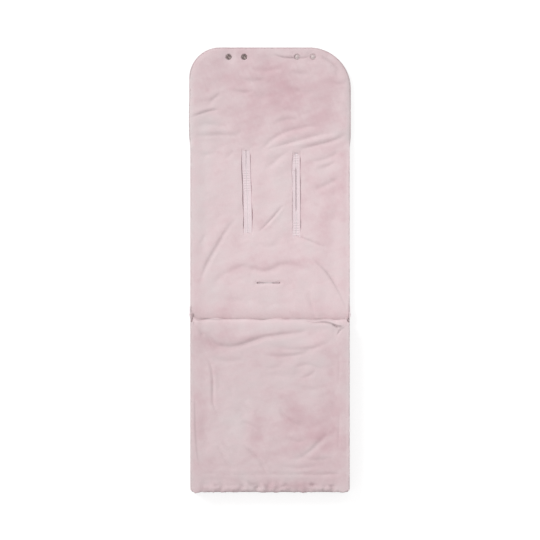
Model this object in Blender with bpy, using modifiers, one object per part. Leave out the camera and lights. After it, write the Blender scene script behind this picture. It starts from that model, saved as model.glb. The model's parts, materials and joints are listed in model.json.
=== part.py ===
"""Stroller footmuff, lying flat, its front cover folded down over the foot sack with the plush lining up.

Lengths are in metres. +X is to the right, +Y towards the head end and +Z up. The origin is the middle of the
footprint on the surface that the mat lies on. The mat is made in three stretches, head, seat and foot, which meet at
the hood fold and the knee fold. The foot sack stands on the foot stretch, and the cover turns about the sack's front.
"""

import math

import bmesh
import bpy
from mathutils import Matrix, Vector

# Plan of the mat
HEAD_WIDTH = 0.364
MAT_LENGTH = 1.000
HOOD_LENGTH = 0.200
SACK_LENGTH = 0.386
LEFT_CORNER = 0.068
RIGHT_CORNER = 0.092
FOOT_CORNER = 0.008
HEM_LENGTH = 0.040

# Layers, from the outer fabric to the plush
MAT_THICKNESS = 0.020
MAT_LINING = 0.008
COVER_THICKNESS = 0.015
COVER_LINING = 0.007
FABRIC = 0.0012
POCKET_HEIGHT = 0.006
BAND_THICKNESS = 0.0045
CLEARANCE = 0.0003

# Crown of the padded faces
EDGE_DROP = 0.0045
EDGE_ROLL = 0.014
FOLD_DROP = 0.0015
SEAM_DROP = 0.0022
CREASE_WIDTH = 0.012
CREASE_DEPTH = 0.0022

# Harness slots, crotch slot and their bound edges
HARNESS_SPACING = 0.110
HARNESS_SHIFT = 0.004
HARNESS_STAGGER = 0.006
HARNESS_BELOW_FOLD = 0.023
HARNESS_LENGTH = 0.202
CROTCH_SHIFT = -0.0034
CROTCH_ABOVE_FOLD = 0.0845
CROTCH_LENGTH = 0.066
BINDING_WIDTH = 0.020
BINDING_THICKNESS = 0.0015
BINDING_DEPTH = 0.0025
THROAT_WALL = 0.0012
SLIT_WIDTH = 0.006
SLIT_INSET = 0.006
FACING_MARGIN = 0.001

# Press studs
STUD_INSET = 0.021
STUD_PLACES = (-0.093, -0.058, 0.061, 0.097)
STUD_DIAMETER = 0.012
STUD_FLANGE = 0.0010
STUD_BED = 0.0033
DIMPLE_MARGIN = 0.0005
SOCKET_DIAMETER = 0.009
SOCKET_HEIGHT = 0.0022
SOCKET_BORE = 0.0048
BALL_DIAMETER = 0.0040
POST_DIAMETER = 0.0044

# Zips. The two rows of a closed zip run one above the other along each side.
TAPE_THICKNESS = 0.0008
CHAIN_THICKNESS = 0.0024
CHAIN_HEIGHT = 0.0028
SPINE_HEIGHT = 0.0012
TOOTH_PITCH = 0.005
TOOTH_WIDTH = 0.0025
ROW_GAP = 0.0024
ZIP_START = 0.0008
ZIP_END = 0.006
STOP_LENGTH = 0.003
SLIDER_LENGTH = 0.014
SLIDER_PLATE = 0.0008
SLIDER_LIP = 0.0010
SLIDER_REST = 0.0005
LINING_GAP = 0.0006
BAIL_LENGTH = 0.006
BAIL_WIDTH = 0.003
BAIL_WALL = 0.0007
BAIL_SPACE = 0.0017
PULL_LENGTH = 0.022
PULL_WIDTH = 0.008
PULL_THICKNESS = 0.0010
PULL_RAIL = 0.0016
PULL_WINDOW = 0.0045
PULL_POINT = 0.002

# Fineness of round and padded shapes
CORNER_STEPS = 7
TURNED_STEPS = 16
PANEL_COLUMNS = 14
ROW_STEP = 0.017
ROLL_SHARES = (0, 0.3, 1)
MERGE_DISTANCE = 0.00001
CUT_OVERRUN = 0.002

# Main folds of the plush, as shares of a panel's width and of its length from the fold line that it hangs on.
# The last number is the fold's depth as a share of CREASE_DEPTH.
HEAD_FOLD_SHARES = (
    (((0.01, 0.20), (0.17, 0.33)), 1.0),
    (((0.10, 0.38), (0.21, 0.52)), 0.7),
    (((0.62, 0.01), (0.70, 0.09), (0.82, 0.18)), 1.0),
)
SEAT_FOLD_SHARES = (
    (((0.45, 0.10), (0.62, 0.01)), 1.2),
    (((0.44, 0.51), (0.57, 0.39)), 0.8),
    (((0.29, 0.46), (0.10, 0.70), (0.02, 0.89)), 1.0),
    (((0.79, 0.67), (0.97, 0.95)), 0.9),
    (((0.22, 0.76), (0.38, 0.72), (0.69, 0.72), (0.82, 0.76)), 1.0),
)
COVER_FOLD_SHARES = (
    (((0.07, 0.09), (0.13, 0.15), (0.22, 0.17), (0.38, 0.13), (0.69, 0.09), (0.88, 0.07)), 1.6),
    (((0.57, 0.16), (0.88, 0.20)), 0.9),
    (((0.08, 0.19), (0.08, 0.48)), 0.9),
    (((0.93, 0.13), (0.93, 0.98)), 0.9),
    (((0.21, 0.75), (0.29, 0.92)), 0.8),
    (((0.37, 0.82), (0.48, 1.00)), 0.8),
    (((0.66, 0.89), (0.85, 0.73)), 1.0),
)
NO_FOLDS = ()

# Places worked out from the sizes above
HEAD_END = MAT_LENGTH / 2
FOOT_END = -MAT_LENGTH / 2
HOOD_FOLD_Y = HEAD_END - HOOD_LENGTH
KNEE_FOLD_Y = FOOT_END + SACK_LENGTH
HEAD_HALF = HEAD_WIDTH / 2
MAT_SEAM = MAT_THICKNESS - MAT_LINING
FRONT_LOW = MAT_THICKNESS + POCKET_HEIGHT
FRONT_SEAM = FRONT_LOW + COVER_LINING
FRONT_HIGH = FRONT_LOW + COVER_THICKNESS
COVER_HINGE_Z = FRONT_HIGH + CLEARANCE / 2
COVER_LOW = FRONT_HIGH + CLEARANCE
COVER_SEAM = COVER_LOW + COVER_THICKNESS - COVER_LINING
COVER_HIGH = COVER_LOW + COVER_THICKNESS
HEM_SEAM_Y = FOOT_END + HEM_LENGTH

# The zip's layers, from the outermost point of the bail inwards to the plush
PLATE_FACE = HEAD_HALF - BAIL_SPACE - BAIL_WALL
OUTER_PLATE = PLATE_FACE - SLIDER_PLATE
CHAIN_OUTER = OUTER_PLATE - CLEARANCE
CHAIN_INNER = CHAIN_OUTER - CHAIN_THICKNESS
INNER_PLATE = CHAIN_INNER - CLEARANCE
SLIDER_INNER = INNER_PLATE - SLIDER_PLATE
PLUSH_HALF = SLIDER_INNER - LINING_GAP
ZIP_PLANE = (CHAIN_OUTER + CHAIN_INNER) / 2
TAPE_OUTER = ZIP_PLANE + TAPE_THICKNESS / 2
TAPE_INNER = ZIP_PLANE - TAPE_THICKNESS / 2
BODY_HALF = TAPE_OUTER + CLEARANCE + FABRIC
WADDING_HALF = TAPE_INNER - CLEARANCE
ROWS_MIDDLE = MAT_THICKNESS + POCKET_HEIGHT / 2
MAT_CHAIN_LOW = ROWS_MIDDLE - ROW_GAP / 2 - CHAIN_HEIGHT
COVER_CHAIN_LOW = 2 * COVER_HINGE_Z - ROWS_MIDDLE - ROW_GAP / 2 - CHAIN_HEIGHT
CHAIN_START = ZIP_START + STOP_LENGTH + CLEARANCE
CHAIN_END = min(SACK_LENGTH, HOOD_FOLD_Y - KNEE_FOLD_Y) - ZIP_END
SLIDER_START = CHAIN_START + SLIDER_REST


def empty_scene():
    """Takes out whatever the file holds."""
    for old in list(bpy.data.objects):
        bpy.data.objects.remove(old)


def new_collection(name):
    made = bpy.data.collections.new(name)
    bpy.context.scene.collection.children.link(made)
    return made


empty_scene()
PARTS = new_collection("stroller_footmuff")
CUTTERS = new_collection("cutters")
AXES = new_collection("joint_axes")


# Materials


def linear(level):
    """One 8-bit colour level as the linear value that a shader takes."""
    share = level / 255
    return share / 12.92 if share <= 0.04045 else ((share + 0.055) / 1.055) ** 2.4


def make_material(name, colour, roughness, metallic=0):
    look = bpy.data.materials.new(name)
    look.use_nodes = True
    shader = look.node_tree.nodes["Principled BSDF"]
    shader.inputs["Base Color"].default_value = (*(linear(level) for level in colour), 1)
    shader.inputs["Roughness"].default_value = roughness
    shader.inputs["Metallic"].default_value = metallic
    look.diffuse_color = shader.inputs["Base Color"].default_value
    return look


PLUSH = make_material("pink_plush", (219, 198, 201), 0.95)
WOVEN = make_material("pink_woven_fabric", (196, 164, 168), 0.85)
WADDING = make_material("white_wadding", (240, 238, 234), 1.0)
BINDING = make_material("pink_binding_tape", (214, 192, 195), 0.75)
ZIP_TAPE = make_material("pink_zip_tape", (200, 170, 174), 0.8)
ZIP_TEETH = make_material("pink_zip_teeth", (206, 176, 180), 0.4)
ZIP_METAL = make_material("pink_coated_metal", (203, 172, 175), 0.35, 0.6)
SNAP_METAL = make_material("nickel_press_stud", (176, 164, 160), 0.3, 1.0)


# Building blocks


def place(axis, first, second, along):
    """A point of a flat outline, set at a distance along the axis that the outline is run along."""
    if axis == "X":
        return Vector((along, first, second))
    if axis == "Y":
        return Vector((first, along, second))
    return Vector((first, second, along))


def add_object(name, mesh, look, collection=PARTS):
    data = bpy.data.meshes.new(name)
    mesh.to_mesh(data)
    mesh.free()
    if look:
        data.materials.append(look)
    made = bpy.data.objects.new(name, data)
    collection.objects.link(made)
    return made


def add_prism(name, outline, low, high, look, axis="Z", collection=PARTS):
    """A flat outline run from low to high along an axis."""
    mesh = bmesh.new()
    corners = [mesh.verts.new(place(axis, first, second, low)) for first, second in outline]
    mesh.faces.new(corners)
    raised = bmesh.ops.extrude_face_region(mesh, geom=mesh.faces[:])["geom"]
    moved = [part for part in raised if isinstance(part, bmesh.types.BMVert)]
    bmesh.ops.translate(mesh, verts=moved, vec=place(axis, 0, 0, high - low))
    bmesh.ops.recalc_face_normals(mesh, faces=mesh.faces)
    return add_object(name, mesh, look, collection)


def add_tray(name, outline, walled, low, high, look):
    """A fabric floor at low with walls up or down to high, sewn from one sheet. walled(a, b) picks the edges."""
    mesh = bmesh.new()
    corners = [mesh.verts.new((x, y, low)) for x, y in outline]
    floor = mesh.faces.new(corners)
    rims = [edge for edge in floor.edges if walled(edge.verts[0].co, edge.verts[1].co)]
    raised = bmesh.ops.extrude_edge_only(mesh, edges=rims)["geom"]
    moved = [part for part in raised if isinstance(part, bmesh.types.BMVert)]
    bmesh.ops.translate(mesh, verts=moved, vec=(0, 0, high - low))
    bmesh.ops.recalc_face_normals(mesh, faces=mesh.faces)
    made = add_object(name, mesh, look)
    sheet = made.modifiers.new("fabric", "SOLIDIFY")
    sheet.thickness = FABRIC
    sheet.offset = -1
    sheet.use_even_offset = True
    return made


def add_turned(name, profile, centre, look, collection=PARTS):
    """A round piece from a profile of radius and height, listed down its outer side."""
    mesh = bmesh.new()
    points = [mesh.verts.new((radius, 0, height)) for radius, height in profile]
    for upper, lower in zip(points, points[1:]):
        mesh.edges.new((upper, lower))
    made = add_object(name, mesh, look, collection)
    made.location = (*centre, 0)
    turn = made.modifiers.new("turn", "SCREW")
    turn.steps = TURNED_STEPS
    turn.render_steps = TURNED_STEPS
    turn.use_merge_vertices = True
    turn.merge_threshold = MERGE_DISTANCE
    turn.use_smooth_shade = True
    return made


def add_panel(name, rows, sides, low, height, look):
    """A padded panel on a flat underside: a grid drawn out between its two sides and raised to its crown."""
    mesh = bmesh.new()
    grid = [[mesh.verts.new((x, y, low)) for x in marks(*sides(y), PANEL_COLUMNS)] for y in rows]
    for row, next_row in zip(grid, grid[1:]):
        for corners in zip(row, row[1:], next_row[1:], next_row):
            mesh.faces.new(corners)
    raised = bmesh.ops.extrude_face_region(mesh, geom=mesh.faces[:])["geom"]
    crown = {part for part in raised if isinstance(part, bmesh.types.BMVert)}
    for point in crown:
        point.co.z = height(point.co.x, point.co.y)
    underside = [face for face in mesh.faces if not crown.intersection(face.verts)]
    bmesh.ops.recalc_face_normals(mesh, faces=mesh.faces)
    bmesh.ops.dissolve_faces(mesh, faces=underside, use_verts=False)
    return add_object(name, mesh, look)


def marks(start, stop, count):
    """Places from start to stop: close ones on the rolled edge at each end, and count even steps between."""
    rolls = [EDGE_ROLL * share for share in ROLL_SHARES]
    near = start + EDGE_ROLL
    far = stop - EDGE_ROLL
    even = [near + (far - near) * step / count for step in range(1, count)]
    return [*(start + roll for roll in rolls), *even, *(stop - roll for roll in reversed(rolls))]


def cut(target, cutter):
    """Takes the cutter out of the target and hides it."""
    step = target.modifiers.new(cutter.name, "BOOLEAN")
    step.operation = "DIFFERENCE"
    step.object = cutter
    hide(cutter)


def join(target, addition):
    step = target.modifiers.new(addition.name, "BOOLEAN")
    step.operation = "UNION"
    step.object = addition
    hide(addition)


def hide(guide):
    guide.hide_render = True
    guide.display_type = "WIRE"


def add_axis(name, point, parent=None):
    """An empty on a joint's axis, which carries the pieces that turn or slide there."""
    made = bpy.data.objects.new(name, None)
    AXES.objects.link(made)
    made.empty_display_size = CHAIN_HEIGHT
    made.location = point
    if parent:
        attach([made], parent)
    return made


def attach(pieces, axis):
    """Hangs pieces on an axis, with their places in the world kept."""
    where = axis.location
    for piece in pieces:
        piece.parent = axis
        piece.matrix_parent_inverse = Matrix.Translation(-where)


# Outlines


def rectangle(left, right, near, far):
    return [(left, near), (right, near), (right, far), (left, far)]


def arc(centre_x, centre_y, radius, start, stop):
    """Points round a corner, with the angles in degrees."""
    points = []
    for step in range(CORNER_STEPS + 1):
        angle = math.radians(start + (stop - start) * step / CORNER_STEPS)
        points.append((centre_x + radius * math.cos(angle), centre_y + radius * math.sin(angle)))
    return points


def head_outline(inset):
    """The rounded head end, drawn in by an inset on its three free sides."""
    near = HOOD_FOLD_Y + CLEARANCE
    half = HEAD_HALF - inset
    right = arc(HEAD_HALF - RIGHT_CORNER, HEAD_END - RIGHT_CORNER, RIGHT_CORNER - inset, 0, 90)
    left = arc(LEFT_CORNER - HEAD_HALF, HEAD_END - LEFT_CORNER, LEFT_CORNER - inset, 90, 180)
    return [(-half, near), (half, near), *right, *left]


def foot_outline(half, inset):
    """The foot end, half as wide as given, its corners drawn in by the inset."""
    far = KNEE_FOLD_Y - CLEARANCE
    low = FOOT_END + inset
    radius = FOOT_CORNER - inset
    left = arc(radius - half, low + radius, radius, 180, 270)
    right = arc(half - radius, low + radius, radius, 270, 360)
    return [(half, far), (-half, far), *left, *right]


def head_sides(y):
    """Where the head end's two sides lie at a distance along the mat."""
    return -HEAD_HALF + corner_draw(y, LEFT_CORNER), HEAD_HALF - corner_draw(y, RIGHT_CORNER)


def corner_draw(y, radius):
    """How far a round corner draws its side in."""
    rise = y - (HEAD_END - radius)
    if rise <= 0:
        return 0
    return radius - math.sqrt(max(radius**2 - rise**2, 0))


def plush_sides(y):
    return -PLUSH_HALF, PLUSH_HALF


def even_rows(near, far):
    """Rows across a panel, about ROW_STEP apart between its two rolled ends."""
    return marks(near, far, max(round((far - near - 2 * EDGE_ROLL) / ROW_STEP), 1))


def head_rows():
    """Rows of the head end: even up to the larger corner, then stepped round it."""
    near = HOOD_FOLD_Y + CLEARANCE
    corner = HEAD_END - RIGHT_CORNER
    count = round((corner - near) / ROW_STEP)
    straight = [near + (corner - near) * step / count for step in range(count)]
    quarter = [math.radians(90 * step / CORNER_STEPS) for step in range(CORNER_STEPS + 1)]
    return straight + [corner + RIGHT_CORNER * math.sin(angle) for angle in quarter]


# Heights of the padded faces


def rounded(distance):
    """The rise of a rolled edge, from 0 at the edge to 1 where the roll ends."""
    share = min(max(distance / EDGE_ROLL, 0), 1)
    return math.sqrt(1 - (1 - share) ** 2)


def distance_to_run(x, y, run):
    """The distance from a point to a chain of straight stretches."""
    point = Vector((x, y))
    nearest = []
    for start, stop in zip(run, run[1:]):
        start = Vector(start)
        span = Vector(stop) - start
        share = min(max((point - start).dot(span) / span.length_squared, 0), 1)
        nearest.append((point - start - span * share).length)
    return min(nearest)


def fold_depth(x, y, folds, corner, reach):
    """How deep the main folds are at a point. corner and reach set the shares on the panel."""
    deepest = 0
    for shares, strength in folds:
        run = [(corner[0] + u * reach[0], corner[1] + v * reach[1]) for u, v in shares]
        near = distance_to_run(x, y, run) / CREASE_WIDTH
        deepest = max(deepest, CREASE_DEPTH * strength * math.exp(-near * near))
    return deepest


def padded_height(high, sides, ends, folds, corner, reach):
    """A panel's upper face: crowned, rolled down at its free edges and creased by its main folds.

    ends maps each end's y to the share of EDGE_DROP that it falls by.
    """

    def height(x, y):
        left, right = sides(y)
        drop = (1 - rounded(min(x - left, right - x))) * EDGE_DROP
        for end, fall in ends:
            drop = max(drop, (1 - rounded(abs(y - end))) * fall)
        return high - max(drop, fold_depth(x, y, folds, corner, reach))

    return height


# The mat's three stretches


def side_edge(start, stop):
    """True for an edge of an outline that runs along the mat."""
    return abs(start.x - stop.x) < CLEARANCE


def not_along(fold_y):
    """Picks every edge but the one that lies on a fold line."""

    def walled(start, stop):
        return abs(start.y - fold_y) > CLEARANCE or abs(stop.y - fold_y) > CLEARANCE

    return walled


def make_head():
    near = HOOD_FOLD_Y + CLEARANCE
    inside = FABRIC + CLEARANCE
    wall = MAT_SEAM - CLEARANCE
    fabric = add_tray("head_outer_fabric", head_outline(0), not_along(near), 0, wall, WOVEN)
    wadding = add_prism("head_wadding", head_outline(inside), inside, wall, WADDING)
    reach = (HEAD_WIDTH, HOOD_LENGTH)
    ends = ((near, FOLD_DROP), (HEAD_END, EDGE_DROP))
    height = padded_height(MAT_THICKNESS, head_sides, ends, HEAD_FOLD_SHARES, (-HEAD_HALF, near), reach)
    lining = add_panel("head_lining", head_rows(), head_sides, MAT_SEAM, height, PLUSH)
    return [fabric, wadding, lining]


def make_seat():
    near = KNEE_FOLD_Y + CLEARANCE
    far = HOOD_FOLD_Y - CLEARANCE
    inside = FABRIC + CLEARANCE
    wall = MAT_SEAM - CLEARANCE
    plan = rectangle(-BODY_HALF, BODY_HALF, near, far)
    fabric = add_tray("seat_outer_fabric", plan, side_edge, 0, wall, WOVEN)
    plan = rectangle(-WADDING_HALF, WADDING_HALF, near, far)
    wadding = add_prism("seat_wadding", plan, inside, wall, WADDING)
    ends = ((near, EDGE_DROP), (far, FOLD_DROP))
    reach = (2 * PLUSH_HALF, near - far)
    height = padded_height(MAT_THICKNESS, plush_sides, ends, SEAT_FOLD_SHARES, (-PLUSH_HALF, far), reach)
    lining = add_panel("seat_lining", even_rows(near, far), plush_sides, MAT_SEAM, height, PLUSH)
    return [fabric, wadding, lining]


def make_foot():
    """The foot stretch of the mat, and the sack that stands on it."""
    far = KNEE_FOLD_Y - CLEARANCE
    inside = FABRIC + CLEARANCE
    wall = MAT_SEAM - CLEARANCE
    in_band = BAND_THICKNESS + CLEARANCE
    outer = foot_outline(BODY_HALF, 0)
    padding = foot_outline(BODY_HALF - inside, inside)
    pocket = foot_outline(BODY_HALF - in_band, in_band)
    band_inner = foot_outline(BODY_HALF - BAND_THICKNESS, BAND_THICKNESS)
    band = outer[1:] + outer[:1] + band_inner[:1] + band_inner[:0:-1]
    return [
        add_tray("foot_mat_outer_fabric", outer, not_along(far), 0, wall, WOVEN),
        add_prism("foot_mat_wadding", padding, inside, wall, WADDING),
        add_prism("foot_mat_lining", pocket, MAT_SEAM, MAT_THICKNESS, PLUSH),
        add_prism("sack_side_band", band, MAT_SEAM, FRONT_SEAM, WOVEN),
        add_prism("sack_front_lining", pocket, FRONT_LOW, FRONT_SEAM - CLEARANCE, PLUSH),
        add_prism("sack_front_wadding", padding, FRONT_SEAM + CLEARANCE, FRONT_HIGH - inside, WADDING),
        add_tray("sack_front_outer_fabric", outer, not_along(far), FRONT_HIGH, FRONT_SEAM + CLEARANCE, WOVEN),
    ]


def make_cover():
    """The front cover, folded down over the sack: fabric below, plush above, its hem at the foot end."""
    near = HEM_SEAM_Y + CLEARANCE
    far = KNEE_FOLD_Y - CLEARANCE
    inside = FABRIC + CLEARANCE
    wall = COVER_SEAM - CLEARANCE
    plan = rectangle(-BODY_HALF, BODY_HALF, near, far)
    fabric = add_tray("cover_outer_fabric", plan, side_edge, COVER_LOW, wall, WOVEN)
    plan = rectangle(-WADDING_HALF, WADDING_HALF, near, far)
    wadding = add_prism("cover_wadding", plan, COVER_LOW + inside, wall, WADDING)
    ends = ((near, SEAM_DROP), (far, EDGE_DROP))
    reach = (2 * PLUSH_HALF, near - far)
    height = padded_height(COVER_HIGH, plush_sides, ends, COVER_FOLD_SHARES, (-PLUSH_HALF, far), reach)
    lining = add_panel("cover_lining", even_rows(near, far), plush_sides, COVER_SEAM, height, PLUSH)
    return [fabric, wadding, lining, make_hem()]


def hem_sides(y):
    """The hem's sides, rounded at the foot end."""
    drop = FOOT_CORNER - (y - FOOT_END)
    draw = 0 if drop <= 0 else FOOT_CORNER - math.sqrt(max(FOOT_CORNER**2 - drop**2, 0))
    return draw - PLUSH_HALF, PLUSH_HALF - draw


def make_hem():
    far = HEM_SEAM_Y - CLEARANCE
    quarter = [math.radians(90 * step / CORNER_STEPS) for step in range(CORNER_STEPS + 1)]
    corner = [FOOT_END + FOOT_CORNER * (1 - math.cos(angle)) for angle in quarter]
    roll = far - (far - FOOT_END) * ROLL_SHARES[1]
    ends = ((FOOT_END, EDGE_DROP), (far, SEAM_DROP))
    height = padded_height(COVER_HIGH, hem_sides, ends, NO_FOLDS, (0, 0), (0, 0))
    return add_panel("cover_hem", [*corner, roll, far], hem_sides, COVER_LOW, height, PLUSH)


# Slots through the seat


def add_stepped_block(name, centre, steps, along, look, collection=PARTS):
    """A block whose sides step in and out. Each step is a length, a width and a height, from the bottom up."""
    mesh = bmesh.new()
    rings = []
    for length, width, z in steps:
        half_x, half_y = (length / 2, width / 2) if along == "X" else (width / 2, length / 2)
        x, y = centre
        corners = rectangle(x - half_x, x + half_x, y - half_y, y + half_y)
        rings.append([mesh.verts.new((*corner, z)) for corner in corners])
    for lower, upper in zip(rings, rings[1:]):
        for first, second in zip((0, 1, 2, 3), (1, 2, 3, 0)):
            mesh.faces.new((lower[first], lower[second], upper[second], upper[first]))
    mesh.faces.new(rings[0])
    mesh.faces.new(rings[-1])
    bmesh.ops.recalc_face_normals(mesh, faces=mesh.faces)
    return add_object(name, mesh, look, collection)


def make_slot(name, centre, length, along, layers):
    """A slot bound like a buttonhole: a flanged binding from the plush side, and a facing ring at the back."""
    face = MAT_THICKNESS - BINDING_DEPTH
    bed = face - BINDING_THICKNESS
    slit = length - 2 * SLIT_INSET
    throat = slit + 2 * THROAT_WALL
    throat_width = SLIT_WIDTH + 2 * THROAT_WALL
    backing = length - 2 * FACING_MARGIN
    backing_width = BINDING_WIDTH - 2 * FACING_MARGIN
    room = 2 * CLEARANCE
    hole = (throat + room, throat_width + room)
    window = (backing + room, backing_width + room)
    recess = (length + room, BINDING_WIDTH + room)
    above = MAT_THICKNESS + CUT_OVERRUN
    ledge = FABRIC + CLEARANCE / 2
    steps = [
        (*window, -CUT_OVERRUN),
        (*window, ledge),
        (*hole, ledge),
        (*hole, bed - CLEARANCE),
        (*recess, bed - CLEARANCE),
        (*recess, above),
    ]
    opening = add_stepped_block(f"{name}_opening", centre, steps, along, None, CUTTERS)
    for layer in layers:
        cut(layer, opening)

    steps = [
        (throat, throat_width, 0),
        (throat, throat_width, bed),
        (length, BINDING_WIDTH, bed),
        (length, BINDING_WIDTH, face),
    ]
    binding = add_stepped_block(f"{name}_binding", centre, steps, along, BINDING)
    steps = [(slit, SLIT_WIDTH, -CUT_OVERRUN), (slit, SLIT_WIDTH, above)]
    cut(binding, add_stepped_block(f"{name}_slit", centre, steps, along, None, CUTTERS))
    steps = [(backing, backing_width, 0), (backing, backing_width, FABRIC)]
    facing = add_stepped_block(f"{name}_facing", centre, steps, along, BINDING)
    steps = [(*hole, -CUT_OVERRUN), (*hole, above)]
    cut(facing, add_stepped_block(f"{name}_throat_hole", centre, steps, along, None, CUTTERS))


def make_slots(layers):
    middle = HOOD_FOLD_Y - HARNESS_BELOW_FOLD - HARNESS_LENGTH / 2
    left = (HARNESS_SHIFT - HARNESS_SPACING / 2, middle)
    right = (HARNESS_SHIFT + HARNESS_SPACING / 2, middle - HARNESS_STAGGER)
    crotch = (CROTCH_SHIFT, KNEE_FOLD_Y + CROTCH_ABOVE_FOLD)
    make_slot("harness_slot_left", left, HARNESS_LENGTH, "Y", layers)
    make_slot("harness_slot_right", right, HARNESS_LENGTH, "Y", layers)
    make_slot("crotch_slot", crotch, CROTCH_LENGTH, "X", layers)


# Press studs at the head end


def socket_profile(seat):
    """A ring with a bore for the ball, on its flange."""
    flange = seat + STUD_FLANGE
    top = flange + SOCKET_HEIGHT
    return [
        (0, flange),
        (SOCKET_BORE / 2, flange),
        (SOCKET_BORE / 2, top),
        (SOCKET_DIAMETER / 2, top),
        (SOCKET_DIAMETER / 2, flange),
        (STUD_DIAMETER / 2, flange),
        (STUD_DIAMETER / 2, seat),
        (0, seat),
    ]


def ball_profile(seat):
    """A ball-headed post on its flange, which clicks into the socket's bore."""
    flange = seat + STUD_FLANGE
    middle = flange + SOCKET_HEIGHT / 2
    top = flange + SOCKET_HEIGHT - CLEARANCE
    neck = BALL_DIAMETER / 2 - CLEARANCE
    return [
        (0, top),
        (neck, top),
        (BALL_DIAMETER / 2, middle),
        (neck, flange),
        (STUD_DIAMETER / 2, flange),
        (STUD_DIAMETER / 2, seat),
        (0, seat),
    ]


def cap_profile(seat):
    """The cap at the back with the post that holds the two halves together."""
    return [
        (0, seat - CLEARANCE),
        (POST_DIAMETER / 2, seat - CLEARANCE),
        (POST_DIAMETER / 2, FABRIC),
        (STUD_DIAMETER / 2, FABRIC),
        (STUD_DIAMETER / 2, 0),
        (0, 0),
    ]


def stud_hole_profile(seat):
    """The stepped hole of a press stud: its dimple in the plush, its post's hole and its cap's window."""
    dimple = STUD_DIAMETER / 2 + DIMPLE_MARGIN
    post = POST_DIAMETER / 2 + CLEARANCE
    window = STUD_DIAMETER / 2 + CLEARANCE
    step = FABRIC + CLEARANCE / 2
    return [
        (0, MAT_THICKNESS + CUT_OVERRUN),
        (dimple, MAT_THICKNESS + CUT_OVERRUN),
        (dimple, seat - CLEARANCE),
        (post, seat - CLEARANCE),
        (post, step),
        (window, step),
        (window, -CUT_OVERRUN),
        (0, -CUT_OVERRUN),
    ]


def make_press_studs(layers):
    seat = MAT_SEAM + STUD_BED
    y = HEAD_END - STUD_INSET
    names = ("left_outer", "left_inner", "right_inner", "right_outer")
    pieces = []
    for name, x in zip(names, STUD_PLACES):
        on_left = x < 0
        kind = "press_socket" if on_left else "press_stud"
        profile = socket_profile(seat) if on_left else ball_profile(seat)
        pieces.append(add_turned(f"{kind}_{name}", profile, (x, y), SNAP_METAL))
        pieces.append(add_turned(f"press_cap_{name}", cap_profile(seat), (x, y), SNAP_METAL))
        hole = add_turned(f"press_hole_{name}", stud_hole_profile(seat), (x, y), None, CUTTERS)
        for layer in layers:
            cut(layer, hole)
    return pieces


# Zips


def side_name(side):
    return "right" if side > 0 else "left"


def across(side, near, far):
    """Two distances from the middle as low and high x on one side."""
    return tuple(sorted((side * near, side * far)))


def comb(base, start, stop, offset, heading):
    """Outline of a row of teeth standing on its spine, from start to stop beyond the knee fold."""
    spine = base + SPINE_HEIGHT
    tip = base + CHAIN_HEIGHT
    points = [(start, base), (start, spine)]
    count = int((stop - start - offset) / TOOTH_PITCH)
    for tooth in range(count):
        low = start + offset + TOOTH_PITCH * tooth + (TOOTH_PITCH - TOOTH_WIDTH) / 2
        high = low + TOOTH_WIDTH
        points += [(low, spine), (low, tip), (high, tip), (high, spine)]
    points += [(stop, spine), (stop, base)]
    return [(KNEE_FOLD_Y + heading * along, z) for along, z in points]


def span(start, stop, heading):
    """Two distances from the knee fold as low and high y."""
    return sorted((KNEE_FOLD_Y + heading * start, KNEE_FOLD_Y + heading * stop))


def side_block(name, side, near_x, far_x, start, stop, heading, low, high, look):
    """A straight block along one side of the mat or the cover."""
    near_y, far_y = span(start, stop, heading)
    plan = rectangle(*across(side, near_x, far_x), near_y, far_y)
    return add_prism(name, plan, low, high, look)


def make_zip_half(owner, side, heading, fabric_low, chain_low, offset):
    """One half of a side zip: its tape, its row of teeth and the row's top stop."""
    where = side_name(side)
    tape_low = fabric_low + FABRIC + CLEARANCE
    tape_high = chain_low - CLEARANCE
    tape_end = CHAIN_END + CLEARANCE + STOP_LENGTH
    stop_start = CHAIN_END + CLEARANCE
    row = comb(chain_low, CHAIN_START, CHAIN_END, offset, heading)
    return [
        side_block(
            f"{owner}_zip_tape_{where}", side, TAPE_INNER, TAPE_OUTER, ZIP_START, tape_end, heading,
            tape_low, tape_high, ZIP_TAPE,
        ),
        add_prism(
            f"{owner}_zip_teeth_{where}", row, *across(side, CHAIN_INNER, CHAIN_OUTER), ZIP_TEETH, "X"
        ),
        side_block(
            f"{owner}_zip_top_stop_{where}", side, CHAIN_INNER, CHAIN_OUTER, stop_start,
            stop_start + STOP_LENGTH, heading, chain_low, chain_low + CHAIN_HEIGHT, ZIP_METAL,
        ),
    ]


def make_bottom_stop(side):
    """The stop that holds the slider at the knee fold."""
    return side_block(
        f"mat_zip_bottom_stop_{side_name(side)}", side, CHAIN_INNER, CHAIN_OUTER, ZIP_START,
        ZIP_START + STOP_LENGTH, 1, MAT_CHAIN_LOW, MAT_CHAIN_LOW + CHAIN_HEIGHT, ZIP_METAL,
    )


def slider_centre():
    return KNEE_FOLD_Y + SLIDER_START + SLIDER_LENGTH / 2


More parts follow.
